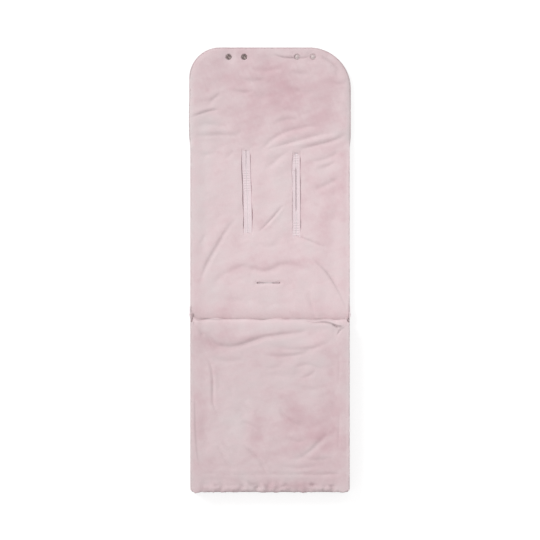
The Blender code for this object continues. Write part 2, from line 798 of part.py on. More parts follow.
def slider_section(side):
    """The slider's cross-section: two plates, the wedge between the rows and the lips under the mat's row."""
    chain_top = MAT_CHAIN_LOW + CHAIN_HEIGHT
    lip_high = MAT_CHAIN_LOW - CLEARANCE
    lip_low = lip_high - SLIDER_LIP
    wedge_low = chain_top + CLEARANCE
    wedge_high = chain_top + ROW_GAP - CLEARANCE
    top = wedge_high + CLEARANCE + CHAIN_HEIGHT + SLIDER_LIP
    lip_inner = TAPE_INNER - CLEARANCE
    lip_outer = TAPE_OUTER + CLEARANCE
    section = [
        (SLIDER_INNER, lip_low),
        (lip_inner, lip_low),
        (lip_inner, lip_high),
        (INNER_PLATE, lip_high),
        (INNER_PLATE, wedge_low),
        (OUTER_PLATE, wedge_low),
        (OUTER_PLATE, lip_high),
        (lip_outer, lip_high),
        (lip_outer, lip_low),
        (PLATE_FACE, lip_low),
        (PLATE_FACE, top),
        (OUTER_PLATE, top),
        (OUTER_PLATE, wedge_high),
        (INNER_PLATE, wedge_high),
        (INNER_PLATE, top),
        (SLIDER_INNER, top),
    ]
    return [(side * x, z) for x, z in section]


def bail_outline(side):
    """The arch on the slider's outer plate that holds the pull, seen from above."""
    middle = slider_centre()
    root = PLATE_FACE - SLIDER_PLATE / 2
    inner = PLATE_FACE + BAIL_SPACE
    half = BAIL_LENGTH / 2
    inside = half - BAIL_WALL
    outline = [
        (root, -half),
        (HEAD_HALF, -half),
        (HEAD_HALF, half),
        (root, half),
        (root, inside),
        (inner, inside),
        (inner, -inside),
        (root, -inside),
    ]
    return [(side * x, middle + y) for x, y in outline]


def make_slider(side):
    where = side_name(side)
    near = KNEE_FOLD_Y + SLIDER_START
    slider = add_prism(
        f"zip_slider_{where}", slider_section(side), near, near + SLIDER_LENGTH, ZIP_METAL, "Y"
    )
    half = BAIL_WIDTH / 2
    bail = add_prism(
        f"zip_bail_{where}", bail_outline(side), ROWS_MIDDLE - half, ROWS_MIDDLE + half, None, collection=CUTTERS
    )
    join(slider, bail)
    return slider


def pull_pin_x():
    return PLATE_FACE + BAIL_SPACE / 2


def make_pull(side):
    """A flat pull with a window round the bail, pointing to the head end. Its end bar turns in the bail."""
    half_thick = PULL_THICKNESS / 2
    half_width = PULL_WIDTH / 2
    tail = slider_centre() - half_thick
    head = tail + PULL_LENGTH
    shoulder = head - PULL_POINT
    tip = half_width - PULL_POINT
    low, high = ROWS_MIDDLE - half_width, ROWS_MIDDLE + half_width
    outline = [
        (tail, low),
        (shoulder, low),
        (head, ROWS_MIDDLE - tip),
        (head, ROWS_MIDDLE + tip),
        (shoulder, high),
        (tail, high),
    ]
    pin = pull_pin_x()
    pull = add_prism(
        f"zip_pull_{side_name(side)}", outline, *across(side, pin - half_thick, pin + half_thick), ZIP_METAL, "X"
    )
    opening = half_width - PULL_RAIL
    window_near = tail + PULL_THICKNESS
    window = [
        (window_near, ROWS_MIDDLE - opening),
        (window_near + PULL_WINDOW, ROWS_MIDDLE - opening),
        (window_near + PULL_WINDOW, ROWS_MIDDLE + opening),
        (window_near, ROWS_MIDDLE + opening),
    ]
    reach = PULL_THICKNESS + CUT_OVERRUN
    hole = add_prism(
        f"pull_window_{side_name(side)}", window, *across(side, pin - reach, pin + reach), None, "X", CUTTERS
    )
    cut(pull, hole)
    return pull


# The whole footmuff


def make_footmuff():
    head = make_head()
    seat = make_seat()
    foot = make_foot()
    cover = make_cover()
    make_slots(seat)
    head += make_press_studs(head)

    hood_axis = add_axis("hood_fold_axis", (0, HOOD_FOLD_Y, MAT_THICKNESS))
    knee_axis = add_axis("knee_fold_axis", (0, KNEE_FOLD_Y, 0))
    cover_axis = add_axis("cover_fold_axis", (0, KNEE_FOLD_Y, COVER_HINGE_Z), knee_axis)
    attach(head, hood_axis)
    attach(foot, knee_axis)

    for side in (-1, 1):
        make_zip_half("mat", side, 1, 0, MAT_CHAIN_LOW, 0)
        make_bottom_stop(side)
        cover += make_zip_half("cover", side, -1, COVER_LOW, COVER_CHAIN_LOW, TOOTH_PITCH / 2)
        where = side_name(side)
        travel = add_axis(f"zip_travel_axis_{where}", (side * ZIP_PLANE, slider_centre(), ROWS_MIDDLE))
        swing = add_axis(f"pull_swing_axis_{where}", (side * pull_pin_x(), slider_centre(), ROWS_MIDDLE), travel)
        attach([make_slider(side)], travel)
        attach([make_pull(side)], swing)
    attach(cover, cover_axis)


make_footmuff()
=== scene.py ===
import json
import math
import random

import bmesh
import bpy
import numpy as np
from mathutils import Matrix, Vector


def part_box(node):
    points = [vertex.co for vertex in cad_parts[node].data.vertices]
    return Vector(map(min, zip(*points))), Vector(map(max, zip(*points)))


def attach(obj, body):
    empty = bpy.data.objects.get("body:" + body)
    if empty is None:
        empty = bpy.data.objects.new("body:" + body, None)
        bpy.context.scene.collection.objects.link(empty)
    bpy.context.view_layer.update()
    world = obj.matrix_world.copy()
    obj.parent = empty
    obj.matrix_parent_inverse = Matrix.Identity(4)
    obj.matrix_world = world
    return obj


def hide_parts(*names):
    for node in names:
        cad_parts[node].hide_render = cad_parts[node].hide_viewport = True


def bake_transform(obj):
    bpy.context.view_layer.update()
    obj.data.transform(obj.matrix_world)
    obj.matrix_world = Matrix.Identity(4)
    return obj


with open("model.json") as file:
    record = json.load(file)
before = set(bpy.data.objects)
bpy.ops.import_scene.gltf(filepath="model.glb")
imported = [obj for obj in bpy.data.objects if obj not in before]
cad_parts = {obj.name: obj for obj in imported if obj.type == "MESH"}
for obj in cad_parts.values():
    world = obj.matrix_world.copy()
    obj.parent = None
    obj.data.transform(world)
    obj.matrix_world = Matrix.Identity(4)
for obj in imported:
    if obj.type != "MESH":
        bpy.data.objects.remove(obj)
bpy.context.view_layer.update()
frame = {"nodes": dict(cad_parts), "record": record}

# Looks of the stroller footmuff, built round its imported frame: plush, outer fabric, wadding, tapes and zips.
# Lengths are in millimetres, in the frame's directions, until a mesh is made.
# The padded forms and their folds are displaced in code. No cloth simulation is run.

MM = 0.001


def node_box(name):
    """The low and high corners of a node, in millimetres."""
    low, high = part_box(name)
    return np.array(low) / MM, np.array(high) / MM


# Places of the frame
SEAT_LOW, SEAT_HIGH = node_box("seat_lining")
HEAD_LOW, HEAD_HIGH = node_box("head_lining")
COVER_LOW, COVER_HIGH = node_box("cover_lining")
HEM_LOW, HEM_HIGH = node_box("cover_hem")
POCKET_LOW, POCKET_HIGH = node_box("foot_mat_lining")
FRONT_LOW = node_box("sack_front_outer_fabric")[0]
COVER_SHELL_LOW = node_box("cover_outer_fabric")[0]
HEAD_Y = HEAD_HIGH[1]
FOOT_Y = HEM_LOW[1]
KNEE_Y = (SEAT_LOW[1] + COVER_HIGH[1]) / 2
HEAD_HALF = HEAD_HIGH[0]
PLUSH_HALF = SEAT_HIGH[0]
SHELL_HALF = node_box("seat_outer_fabric")[1][0]
MAT_TOP = 20.0
COVER_TOP = COVER_HIGH[2]

# Corners in the plan: the head's two and the foot's
LEFT_CORNER = 68.0
RIGHT_CORNER = 92.0
FOOT_CORNER = 8
HEAD_END = (HEAD_Y, LEFT_CORNER, RIGHT_CORNER)
FOOT_END = (FOOT_Y, FOOT_CORNER, FOOT_CORNER)
SEAT_END = 268
WIDER_FROM = SEAT_END + 6
HOOD_EDGE = 300
SHELL_HEAD_Y = HEAD_Y - 0.4
PAD_HEAD_Y = HEAD_Y - 3.4
PAD_FOOT_Y = FOOT_Y + 4

# Levels of the soft layers, from the floor up
SHELL_FLOOR = 0.05
SHELL_RISE = 11.5
MAT_PAD = (1.6, 11.8)
BAND_FOOT = 11.9
BAND_RISE = 21.1
FRONT_ROLL = 7.9
MAT_PLUSH_FLOOR = 12.2
SOCKET_BED = 14.8
STUD_BED = 15.1
SLOT_BED = 15.2
MAT_PILE = 22.05
MAT_LIMIT = 23.1
FRONT_PAD = (33.4, 39.6)
COVER_TURN = 41.15
COVER_FLOOR = 41.3
HEM_FLOOR = 41.5
COVER_PAD = (42.9, 49.1)
COVER_PILE = 58.3
ROLL_LIMIT = 58.9
COVER_LIMIT = 59.1
CUT_LOW, CUT_HIGH = 2, 34

# Shared numbers of the soft surfaces
GRAIN = 2.6
WALL = PLUSH_HALF + 0.1
LIP = 6.5
LIP_RAMP = 26
MAT_LIP_RISE = 2.85
COVER_LIP_RISE = 2.65
RIM_ROLL = 2.4
PILE_REACH = 179.3
SLIDER_ROOM = 1.2
RIM_COLUMNS = ((-1, 0.0022), (1, 0.0022))
TUCK = 26
SEAM_IN = 12
THREAD_THICK = 0.5
ZIP_TAPE_THICK = 0.5
FABRIC_THICK = 1.1


# Fields over the plan


def waves(x, y, size, seed, count=18, stretch=1.0):
    """Smooth random bumps about size across and of about unit height, stretched along y."""
    chance = random.Random(seed)
    total = np.zeros_like(x)
    for _ in range(count):
        angle = chance.uniform(0, math.tau)
        pitch = math.pi / size * chance.uniform(0.55, 1.5)
        phase = chance.uniform(0, math.tau)
        total += np.cos(pitch * (x * math.cos(angle) + y * math.sin(angle) / stretch) + phase)
    return total / math.sqrt(count / 2)


def smooth(share):
    """A soft step from 0 to 1."""
    share = np.clip(share, 0, 1)
    return share * share * (3 - 2 * share)


def bell(value, width):
    """1 where the value is 0, falling off on either side over about a width."""
    return np.exp(-((value / width) ** 2))


def curved(points, steps=6):
    """A smooth line through the points."""
    knots = [np.array(point, float) for point in points]
    knots = [2 * knots[0] - knots[1], *knots, 2 * knots[-1] - knots[-2]]
    line = []
    for a, b, c, d in zip(knots, knots[1:], knots[2:], knots[3:]):
        for step in range(steps):
            t = step / steps
            bent = (2 * a - 5 * b + 4 * c - d) * t**2 + (3 * b - a - 3 * c + d) * t**3
            line.append(0.5 * (2 * b + (c - a) * t + bent))
    line.append(knots[-2])
    return line


def off_line(x, y, line):
    """Distance to a line, its side as a sign (+ on the left of its heading) and the share of its length gone by."""
    best = np.full(x.shape, 1e9)
    side = np.ones_like(x)
    along = np.zeros_like(x)
    lengths = [math.dist(a, b) for a, b in zip(line, line[1:])]
    whole = sum(lengths)
    gone = 0
    for (ax, ay), (bx, by), length in zip(line, line[1:], lengths):
        dx, dy = bx - ax, by - ay
        t = np.clip(((x - ax) * dx + (y - ay) * dy) / length**2, 0, 1)
        distance = np.hypot(x - ax - t * dx, y - ay - t * dy)
        nearer = distance < best
        best = np.where(nearer, distance, best)
        side = np.where(nearer, np.sign(dx * (y - ay) - dy * (x - ax)), side)
        along = np.where(nearer, (gone + t * length) / whole, along)
        gone += length
    return best, side, along


def creases(x, y, folds):
    """Sum of the folds' heights. A fold is its points, depth, width and the height of the roll on its left side.

    A negative roll lies on the right side. The folds fade out at both ends.
    """
    total = np.zeros_like(x)
    for points, depth, width, roll in folds:
        line = curved(points)
        margin = 6 * width + 4
        low, high = np.min(line, axis=0) - margin, np.max(line, axis=0) + margin
        near = (x > low[0]) & (x < high[0]) & (y > low[1]) & (y < high[1])
        if not near.any():
            continue
        distance, side, along = off_line(x[near], y[near], line)
        fade = np.sin(math.pi * np.clip(along, 0, 1)) ** 0.6
        height = -depth * bell(distance, width)
        on_side = smooth(0.5 + distance * side * math.copysign(1, roll) / (2 * width))
        height += abs(roll) * bell(distance - 2.6 * width, 2.0 * width) * on_side
        total[near] += height * fade
    return total


def patches(x, y, spots):
    """Soft patches: each is x, y, half length, half width, turn in degrees and strength."""
    total = np.zeros_like(x)
    for cx, cy, long, wide, turn, strength in spots:
        angle = math.radians(turn)
        u = (x - cx) * math.cos(angle) + (y - cy) * math.sin(angle)
        v = (y - cy) * math.cos(angle) - (x - cx) * math.sin(angle)
        total += strength * bell(u, long) * bell(v, wide)
    return total


# The folds of the seat and head: points, depth, width, roll
MAT_FOLDS = (
    (((-25, 262), (-8, 280), (12, 297), (43, 312), (80, 320), (116, 325)), 2.4, 5.0, -2.4),
    (((-22, 256), (-3, 271), (30, 281), (68, 291), (97, 299), (150, 309)), 2.2, 4.5, -2.0),
    (((66, 272), (100, 279), (142, 290), (173, 305)), 2.4, 4.5, 2.4),
    (((80, 240), (129, 250), (171, 274)), 2.2, 6.0, 2.2),
    (((97, 177), (125, 190), (165, 210)), 2.0, 6.0, 2.2),
    (((-176, 345), (-158, 351), (-139, 357), (-116, 361)), 2.6, 2.6, 1.6),
    (((-138, 373), (-126, 384), (-110, 397)), 2.0, 4.5, 1.6),
    (((-168, 300), (-118, 303), (-66, 301)), 1.6, 4.0, 1.4),
    (((-165, 322), (-140, 328), (-100, 322)), 1.0, 5.0, 1.2),
    (((-24, 87), (1, 112), (29, 145)), 2.8, 2.4, -1.0),
    (((-12, 224), (17, 248), (47, 275)), 1.8, 6.0, -1.6),
    (((-76, 116), (-92, 96), (-106, 75), (-127, 38), (-139, 17), (-156, -20), (-172, -62)), 2.6, 5.0, -1.6),
    (((-172, 36), (-158, 57), (-146, 78)), 1.6, 4.0, 1.2),
    (((60, 77), (88, 66), (126, 51)), 2.0, 2.6, -1.2),
    (((96, 26), (129, -8), (150, -41), (168, -81)), 2.6, 2.6, -1.4),
    (((-134, -40), (-106, -13), (-65, 6), (-36, 1), (-7, -3), (30, 12), (63, 7), (97, -8), (120, -32)), 1.8, 6.5, 2.4),
    (((86, -48), (93, -76), (103, -106)), 1.8, 6.0, 1.6),
    (((44, -94), (56, -109)), 2.0, 3.0, 1.2),
    (((118, 478), (138, 466), (157, 446)), 2.2, 4.0, -1.6),
    (((-55, 456), (-17, 447), (34, 455)), 1.4, 5.5, -1.4),
    (((44, 446), (66, 441), (90, 438)), 1.4, 5.0, 1.4),
    (((-100, 248), (-80, 268)), 1.2, 5.0, 1.0),
    (((10, 484), (30, 478), (50, 476.5), (76, 476), (88, 479)), 2.0, 2.2, 1.4),
    (((150, 380), (166, 370), (178, 352)), 1.4, 5.0, 1.4),
    (((-60, 395), (-30, 388), (15, 396)), 0.9, 7.0, 1.0),
    (((20, 360), (70, 352), (120, 362)), 0.9, 7.0, 1.0),
    (((-150, 180), (-120, 150), (-110, 118)), 0.9, 7.0, 0.9),
    (((100, 150), (130, 120), (160, 110)), 1.0, 7.0, 1.0),
    (((-120, -66), (-60, -70), (-20, -64)), 0.9, 8.0, 1.0),
    (((-86, 404), (-60, 398), (-38, 402)), 1.5, 4.0, 1.2),
    (((-70, 430), (-44, 424), (-10, 428)), 1.3, 4.5, 1.1),
    (((40, 410), (74, 398), (100, 400)), 1.2, 5.0, 1.0),
    (((10, 330), (40, 338), (66, 336)), 1.5, 4.5, 1.3),
    (((130, 430), (150, 418), (172, 420)), 1.4, 4.0, 1.2),
    (((104, 226), (128, 232), (150, 244)), 1.6, 4.5, 1.3),
    (((-168, 262), (-146, 258), (-120, 262)), 1.2, 5.0, 1.0),
    (((-30, 60), (-8, 52), (20, 56)), 1.0, 5.0, 1.0),
)

# The folds of the cover
COVER_FOLDS = (
    (((-163, -135), (-141, -151), (-129, -163), (-111, -172), (-87, -174), (-66, -170), (-45, -163), (-15, -153),
      (16, -148), (55, -143), (86, -139)), 4.4, 6.0, 1.6),
    (((-168, -128), (-157, -138), (-150, -150)), 4.0, 5.0, 0.6),
    (((-135, -194), (-126, -199), (-96, -206), (-60, -203)), 1.5, 5.5, 1.4),
    (((8, -172), (16, -176), (55, -180), (100, -176), (136, -163)), 2.4, 5.0, 1.8),
    (((-14, -192), (25, -195), (64, -191), (106, -179)), 2.2, 4.5, 1.8),
    (((-141, -200), (-135, -214), (-131, -232), (-129, -257), (-129, -288), (-124, -312), (-108, -338)), 3.0, 2.6, 1.2),
    (((-170, -262), (-170, -300), (-170, -348), (-167, -380), (-164, -417), (-160, -440)), 3.2, 2.2, 0.6),
    (((-118, -396), (-102, -423), (-90, -441), (-79, -449)), 2.0, 3.2, 1.4),
    (((-108, -388), (-96, -401), (-84, -411)), 1.8, 3.0, 1.0),
    (((-61, -395), (-39, -414), (-20, -435), (-7, -458)), 3.2, 3.4, 1.8),
    (((52, -431), (82, -415), (103, -397), (131, -369)), 2.6, 6.5, 3.0),
    (((156, -180), (157, -215), (155, -262)), 2.4, 3.6, 0.8),
    (((157, -318), (156, -362), (154, -412)), 2.6, 3.0, 0.8),
    (((22, -306), (31, -328), (49, -342), (73, -356)), 2.2, 4.0, 1.4),
    (((-60, -302), (-39, -324)), 2.2, 4.0, 1.4),
    (((-64, -340), (-40, -352), (-30, -362)), 1.8, 4.0, 1.2),
    (((36, -376), (62, -388), (98, -380)), 1.8, 4.5, 1.4),
    (((52, -222), (84, -214), (118, -224)), 1.6, 4.5, 1.2),
    (((68, -246), (92, -236), (104, -226)), 1.6, 4.0, 1.2),
    (((70, -420), (98, -428), (140, -424)), 1.6, 4.0, 1.2),
    (((-30, -212), (-4, -222), (30, -218)), 1.2, 5.0, 1.0),
    (((-110, -240), (-90, -262), (-84, -290)), 1.2, 5.0, 1.0),
    (((60, -262), (96, -270), (130, -258)), 1.3, 6.0, 1.5),
    (((-20, -232), (30, -240), (80, -232)), 0.8, 8.0, 1.0),
    (((-84, -300), (-60, -330), (-52, -372)), 0.8, 8.0, 1.0),
    (((20, -440), (60, -447), (110, -441)), 1.4, 4.5, 1.2),
)

# The small branching pinch at the right end of the mouth
PINCH_FOLDS = (
    (((70, -114), (86, -117), (100, -120), (114, -119), (127, -119.5), (138, -122), (147, -126), (154, -130),
      (162, -136)), 4.2, 2.1, -0.9),
    (((140, -123), (152, -128), (166, -129)), 4.5, 2.0, 0.8),
    (((150, -129), (157, -137), (167, -133)), 4.0, 1.8, 0.8),
    (((158, -135), (156, -140), (151, -147)), 3.6, 2.0, 0.6),
)

# Where the plush of the mouth's roll ends towards the head, seen from above
MOUTH_LINE = (
    (-176, -106), (-162, -111), (-147, -112), (-126, -108), (-102, -111), (-75, -111), (-45, -110), (-15, -113),
    (10, -109), (34, -112), (50, -109.5), (64, -111.5), (84, -109), (100, -112.5), (127, -110), (145, -112.5),
    (158, -111), (176, -112),
)

# How the nap lies, as x, y, half length, half width, turn and strength: + is deeper and pinker, - paler and greyer
NAP_SPOTS = (
    (20, 400, 100, 60, 0, 0.75),
    (110, 400, 60, 50, 20, 0.35),
    (-60, 440, 90, 40, 0, 0.35),
    (-30, 340, 45, 40, 20, 0.5),
    (90, 330, 60, 24, 20, 0.45),
    (120, 150, 45, 70, 0, 0.35),
    (165, 190, 16, 90, 0, 0.4),
    (-150, 200, 34, 150, 0, -0.5),
    (-120, 330, 40, 40, 0, -0.3),
    (-150, 0, 26, 80, 0, -0.3),
    (0, 170, 50, 110, 0, -0.3),
    (0, -60, 130, 36, 0, -0.4),
    (60, 18, 60, 9, 5, 0.6),
    (-40, 3, 60, 9, 0, 0.5),
    (150, -60, 26, 60, 0, 0.15),
    (-135, -165, 40, 14, -35, 0.7),
    (-150, -200, 20, 60, 0, 0.35),
    (-40, -152, 60, 7, 10, 0.5),
    (40, -128, 120, 11, 0, -0.6),
    (40, -165, 70, 8, 5, -0.4),
    (-20, -250, 110, 50, 0, -0.2),
    (-85, -340, 45, 60, 10, -0.5),
    (-32, -380, 20, 34, 10, 0.6),
    (85, -350, 75, 55, -20, 0.72),
    (140, -390, 46, 76, 0, 0.45),
    (55, -398, 60, 12, 25, 0.45),
    (100, -400, 50, 7, 32, -0.7),
    (-160, -335, 18, 60, 0, 0.55),
    (120, -440, 50, 14, 0, 0.3),
    (50, -485, 60, 10, 0, 0.6),
    (-120, -470, 40, 20, 0, -0.1),
    (140, -480, 40, 12, 0, 0.3),
)

# Broad tones in the same numbers: + is lighter
TONE_SPOTS = (
    (0, 480, 300, 70, 0, -0.03),
    (-170, 100, 60, 260, 0, -0.03),
    (90, 60, 90, 140, 0, 0.012),
    (0, -476, 300, 54, 0, -0.046),
    (102, -163, 40, 17, 5, 0.065),
    (140, -72, 50, 46, 0, 0.018),
    (-130, -150, 60, 22, 0, -0.03),
    (-150, -400, 50, 60, 0, -0.015),
    (-145, 385, 50, 90, 0, -0.032),
    (0, 488, 200, 14, 0, -0.018),
)

# Lines where the plush closes on itself and no light gets in: points, width and depth of tone
DARK_LINES = (
    (((-168, -113), (-140, -110), (-120, -111.5), (-100, -110)), 2.2, 0.20),
    (((-104, -110.5), (-60, -110), (-20, -112), (20, -112)), 1.6, 0.10),
    (((20, -112), (60, -111), (100, -112.5), (140, -113)), 2.0, 0.18),
    (((112, -117), (126, -117.5), (136, -120), (144, -124), (152, -127)), 1.7, 0.36),
    (((146, -124.5), (154, -127.5), (161, -128)), 2.3, 0.44),
    (((157, -127), (158, -133), (153, -142)), 1.7, 0.40),
    (((157, -134), (163, -131), (168, -128)), 1.4, 0.32),
    (((-170, -290), (-169, -350), (-166, -400), (-160, -440)), 1.8, 0.16),
    (((-141, -200), (-134, -216), (-130, -240), (-129, -270), (-128, -300)), 1.8, 0.10),
    (((-24, 87), (1, 112), (29, 145)), 1.5, 0.16),
    (((96, 26), (129, -8), (150, -41), (168, -81)), 1.6, 0.16),
    (((60, 77), (88, 66), (126, 51)), 1.5, 0.10),
    (((-176, 345), (-158, 351), (-139, 357), (-116, 361)), 1.6, 0.14),
    (((10, 484), (30, 478), (50, 476.5), (76, 476)), 1.4, 0.18),
    (((118, 478), (138, 466), (157, 446)), 2.2, 0.10),
    (((-52, -474), (-42, -482), (-32, -492)), 3.4, 0.13),
    (((-70, -478), (-60, -487)), 2.8, 0.09),
    (((-16, -480), (-6, -490)), 2.8, 0.07),
    (((30, -480), (52, -487), (80, -484)), 3.4, 0.08),
    (((90, -476), (98, -488)), 3.0, 0.14),
    (((128, -480), (138, -490)), 2.8, 0.10),
    (((-128, -480), (-118, -490)), 2.8, 0.06),
)


def nap(x, y):
    """How the pile lies, from 0 (pale) to 1 (deep)."""
    field = patches(x, y, NAP_SPOTS)
    field += 0.16 * waves(x, y, 46, 5, stretch=1.1) + 0.08 * waves(x, y, 17, 6, stretch=0.8) + 0.05 * waves(x, y, 6, 7)
    field -= 0.9 * smooth((abs(x) - 168) / 12)
    return 0.5 + 0.38 * field


def dark_lines(x, y, margin=9):
    """How much painted shade darkens the plush along the dark lines."""
    total = np.zeros_like(x)
    for points, width, strength in DARK_LINES:
        line = np.array(curved(points))
        spread = np.ptp(line, axis=0) / 2 + margin
        middle = line.mean(axis=0)
        near = (abs(x - middle[0]) < spread[0]) & (abs(y - middle[1]) < spread[1])
        if near.any():
            away, _, along = off_line(x[near], y[near], line)
            fade = np.sin(math.pi * np.clip(along, 0.02, 0.98)) ** 0.5
            total[near] += strength * bell(away, width) * fade
    return total


def tone(x, y):
    """Lightness of the plush: 0.5 is plain, and a step of 0.5 is 20 %. It holds painted shade in the folds' hollows and
    along the dark lines, and painted light at the pile's outer edges.
    """
    shade = patches(x, y, TONE_SPOTS) + 0.006 * waves(x, y, 28, 8)
    head, mouth, cover = (y - 244) / 50, (KNEE_Y + 2 - y) / 10, (KNEE_Y - 26 - y) / 26
    shade -= 0.035 * smooth(head) + 0.05 * smooth(mouth) + 0.035 * smooth(cover)
    # Painted shade: the plush is darkened in the hollows of its folds.
    hollows = creases(x, y, MAT_FOLDS) * (y > KNEE_Y) + creases(x, y, COVER_FOLDS) * (y <= KNEE_Y)
    shade += 0.006 * np.minimum(hollows, 0)
    # Painted light: the pile over the zips is lightened at the outer edges against the shade of the gap beneath it, and
    # the right rim, which the lamp leaves in shade, a little more.
    shade += (0.09 * smooth((abs(x) - 175.2) / 3) + 0.022 * smooth((x - 170) / 5)) * (y < WIDER_FROM)
    # Painted shade along the dark lines.
    return 0.5 + 2.5 * (shade - dark_lines(x, y))


# Mesh building


def add_object(name, data):
    made = bpy.data.objects.new(name, data)
    bpy.context.scene.collection.objects.link(made)
    return made


class Skin:
    """Points and faces of one piece."""

    def __init__(self):
        self.points = []
        self.faces = []

    def add(self, points):
        first = len(self.points)
        self.points += [tuple(point) for point in points]
        return list(range(first, len(self.points)))

    def grid(self, x, y, z):
        """Adds a grid given as rows by columns and returns its points' numbers."""
        rows, columns = x.shape
        numbers = np.array(self.add(zip(x.ravel(), y.ravel(), z.ravel()))).reshape(rows, columns)
        for low, high in zip(numbers, numbers[1:]):
            self.faces += zip(low, low[1:], high[1:], high)
        return numbers

    def band(self, first, second):
        """Faces between two closed loops of as many points."""
        pairs = list(zip(first, second))
        for (a, b), (c, d) in zip(pairs, pairs[1:] + pairs[:1]):
            self.faces.append((a, c, d, b))

    def stack(self, rings):
        """Faces between closed loops one after another, and over both ends."""
        for first, second in zip(rings, rings[1:]):
            self.band(first, second)
        self.faces += [tuple(rings[0]), tuple(rings[-1])]

    def zip_up(self, first, second):
        """Triangles between two lines of unlike numbers of points that run the same way."""
        i = j = 0
        spans, others = len(first) - 1, len(second) - 1
        while i < spans or j < others:
            if j == others or (i < spans and (i + 1) * others <= (j + 1) * spans):
                self.faces.append((first[i], first[i + 1], second[j]))
                i += 1
            else:
                self.faces.append((first[i], second[j + 1], second[j]))
                j += 1

    def close(self, loop, rows, columns, count=8):
        """A plain floor inside a loop that runs round a grid of rows by columns."""
        near = loop[:columns]
        right = loop[columns - 1:columns + rows - 1]
        far = loop[columns + rows - 2:2 * columns + rows - 2][::-1]
        left = [loop[0], *loop[:2 * columns + rows - 3:-1]]
        lines = []
        for number in range(1, rows - 1):
            a = np.array(self.points[left[number]])
            b = np.array(self.points[right[number]])
            inner = self.add(a + (b - a) * step / count for step in range(1, count))
            lines.append([left[number], *inner, right[number]])
        for low, high in zip(lines, lines[1:]):
            self.faces += zip(low, low[1:], high[1:], high)
        self.zip_up(list(near), lines[0])
        self.zip_up(list(far), lines[-1])

    def make(self, name):
        """An object of the scene, in metres."""
        data = bpy.data.meshes.new(name)
        data.from_pydata([tuple(float(value) * MM for value in point) for point in self.points], [],
                         [tuple(int(corner) for corner in face) for face in self.faces])
        made = add_object(name, data)
        shape = bmesh.new()
        shape.from_mesh(data)
        bmesh.ops.recalc_face_normals(shape, faces=shape.faces)
        shape.to_mesh(data)
        shape.free()
        data.shade_smooth()
        return made


def rim(numbers):
    """The outer loop of a grid: near row, right column, far row, left column."""
    return [*numbers[0], *numbers[1:, -1], *numbers[-1, -2::-1], *numbers[-2:0:-1, 0]]


def outward(loop_x, loop_y):
    """Unit directions out of a closed counter-clockwise loop, in the plan."""
    dx = np.roll(loop_x, -1) - np.roll(loop_x, 1)
    dy = np.roll(loop_y, -1) - np.roll(loop_y, 1)
    length = np.hypot(dx, dy) + 1e-9
    return dy / length, -dx / length


def lattice(rows, columns):
    """Two grids of rows by columns: each point's row value and its column value."""
    return np.meshgrid(rows, columns, indexing="ij")


def places(start, stop, step, dense=()):
    """Places from start to stop, step apart and closer round each (middle, finest step)."""
    found = [start]
    while found[-1] < stop:
        here = found[-1]
        size = step
        for middle, fine in dense:
            size = min(size, max(fine, 0.22 * abs(here - middle)))
        found.append(here + size)
    found = np.array(found)
    return start + (found - start) * (stop - start) / (found[-1] - start)


def pad_rings(floor):
    """Rings that turn a pad's edge down to its floor."""
    return (0.25, 0.35, floor), (0.6, 0.7, floor), (1.2, 0.9, floor), (1.8, 1.0, floor)


def closed_pad(name, x, y, z, rings, count=8):
    """A piece that is one pad."""
    skin = Skin()
    add_pad(skin, x, y, z, rings, count)
    return skin.make(name)


def add_pad(skin, x, y, z, rings, count):
    """A pad: its upper face as a grid, rings of (inset, share of the way down, floor) and a plain floor."""
    numbers = skin.grid(x, y, z)
    loop = rim(numbers)
    edge = np.array([skin.points[number] for number in loop])
    out_x, out_y = outward(edge[:, 0], edge[:, 1])
    last = loop
    for back, share, level in rings:
        height = edge[:, 2] * (1 - share) + level * share
        ring = skin.add(zip(edge[:, 0] - out_x * back, edge[:, 1] - out_y * back, height))
        skin.band(last, ring)
        last = ring
    skin.close(last, *x.shape, count)


def cut_out(piece, loop, low, high):
    """Cuts a straight space out of a piece: its outline in the plan, from low to high."""
    skin = Skin()
    skin.stack([skin.add((x, y, level) for x, y in loop) for level in (low, high)])
    cutter = skin.make("space")
    step = piece.modifiers.new("space", "BOOLEAN")
    step.operation = "DIFFERENCE"
    step.solver = "EXACT"
    step.object = cutter
    with bpy.context.temp_override(object=piece, active_object=piece):
        bpy.ops.object.modifier_apply(modifier=step.name)
    bpy.data.objects.remove(cutter)


def cut_block(piece, box, inset_x, inset_y, low, high):
    """Cuts a block out of a piece, in from a box by its insets, from low to high."""
    (x0, y0, _), (x1, y1, _) = box
    x0, x1, y0, y1 = x0 + inset_x, x1 - inset_x, y0 + inset_y, y1 - inset_y
    cut_out(piece, ((x0, y0), (x1, y0), (x1, y1), (x0, y1)), low, high)


def cut_slots(piece, margin, low, high):
    """Cuts the three slots' spaces out of a piece, margin in from their tapes' boxes."""
    for box in [box for box, _ in SLOTS.values()] + [CROTCH]:
        cut_block(piece, box, margin, margin, low, high)


def record_rest(piece):
    """Keeps each point's place at rest and its nap, so that looks don't slide as the piece bends."""
    data = piece.data
    spots = np.zeros(len(data.vertices) * 3, np.float32)
    data.vertices.foreach_get("co", spots)
    data.attributes.new("rest", "FLOAT_VECTOR", "POINT").data.foreach_set("vector", spots)
    spots = spots.reshape(-1, 3).astype(float) / MM
    # The tone attribute holds painted shade and painted light as well as broad tones.
    for name, field in (("nap", nap), ("tone", tone)):
        values = field(spots[:, 0], spots[:, 1]).astype(np.float32)
        data.attributes.new(name, "FLOAT", "POINT").data.foreach_set("value", values)


# Materials


def linear(level):
    """A level of 0 to 255 on a screen as a share of light."""
    share = level / 255
    return share / 12.92 if share <= 0.04045 else ((share + 0.055) / 1.055) ** 2.4


def rgb(colour):
    return (*(linear(level) for level in colour), 1)


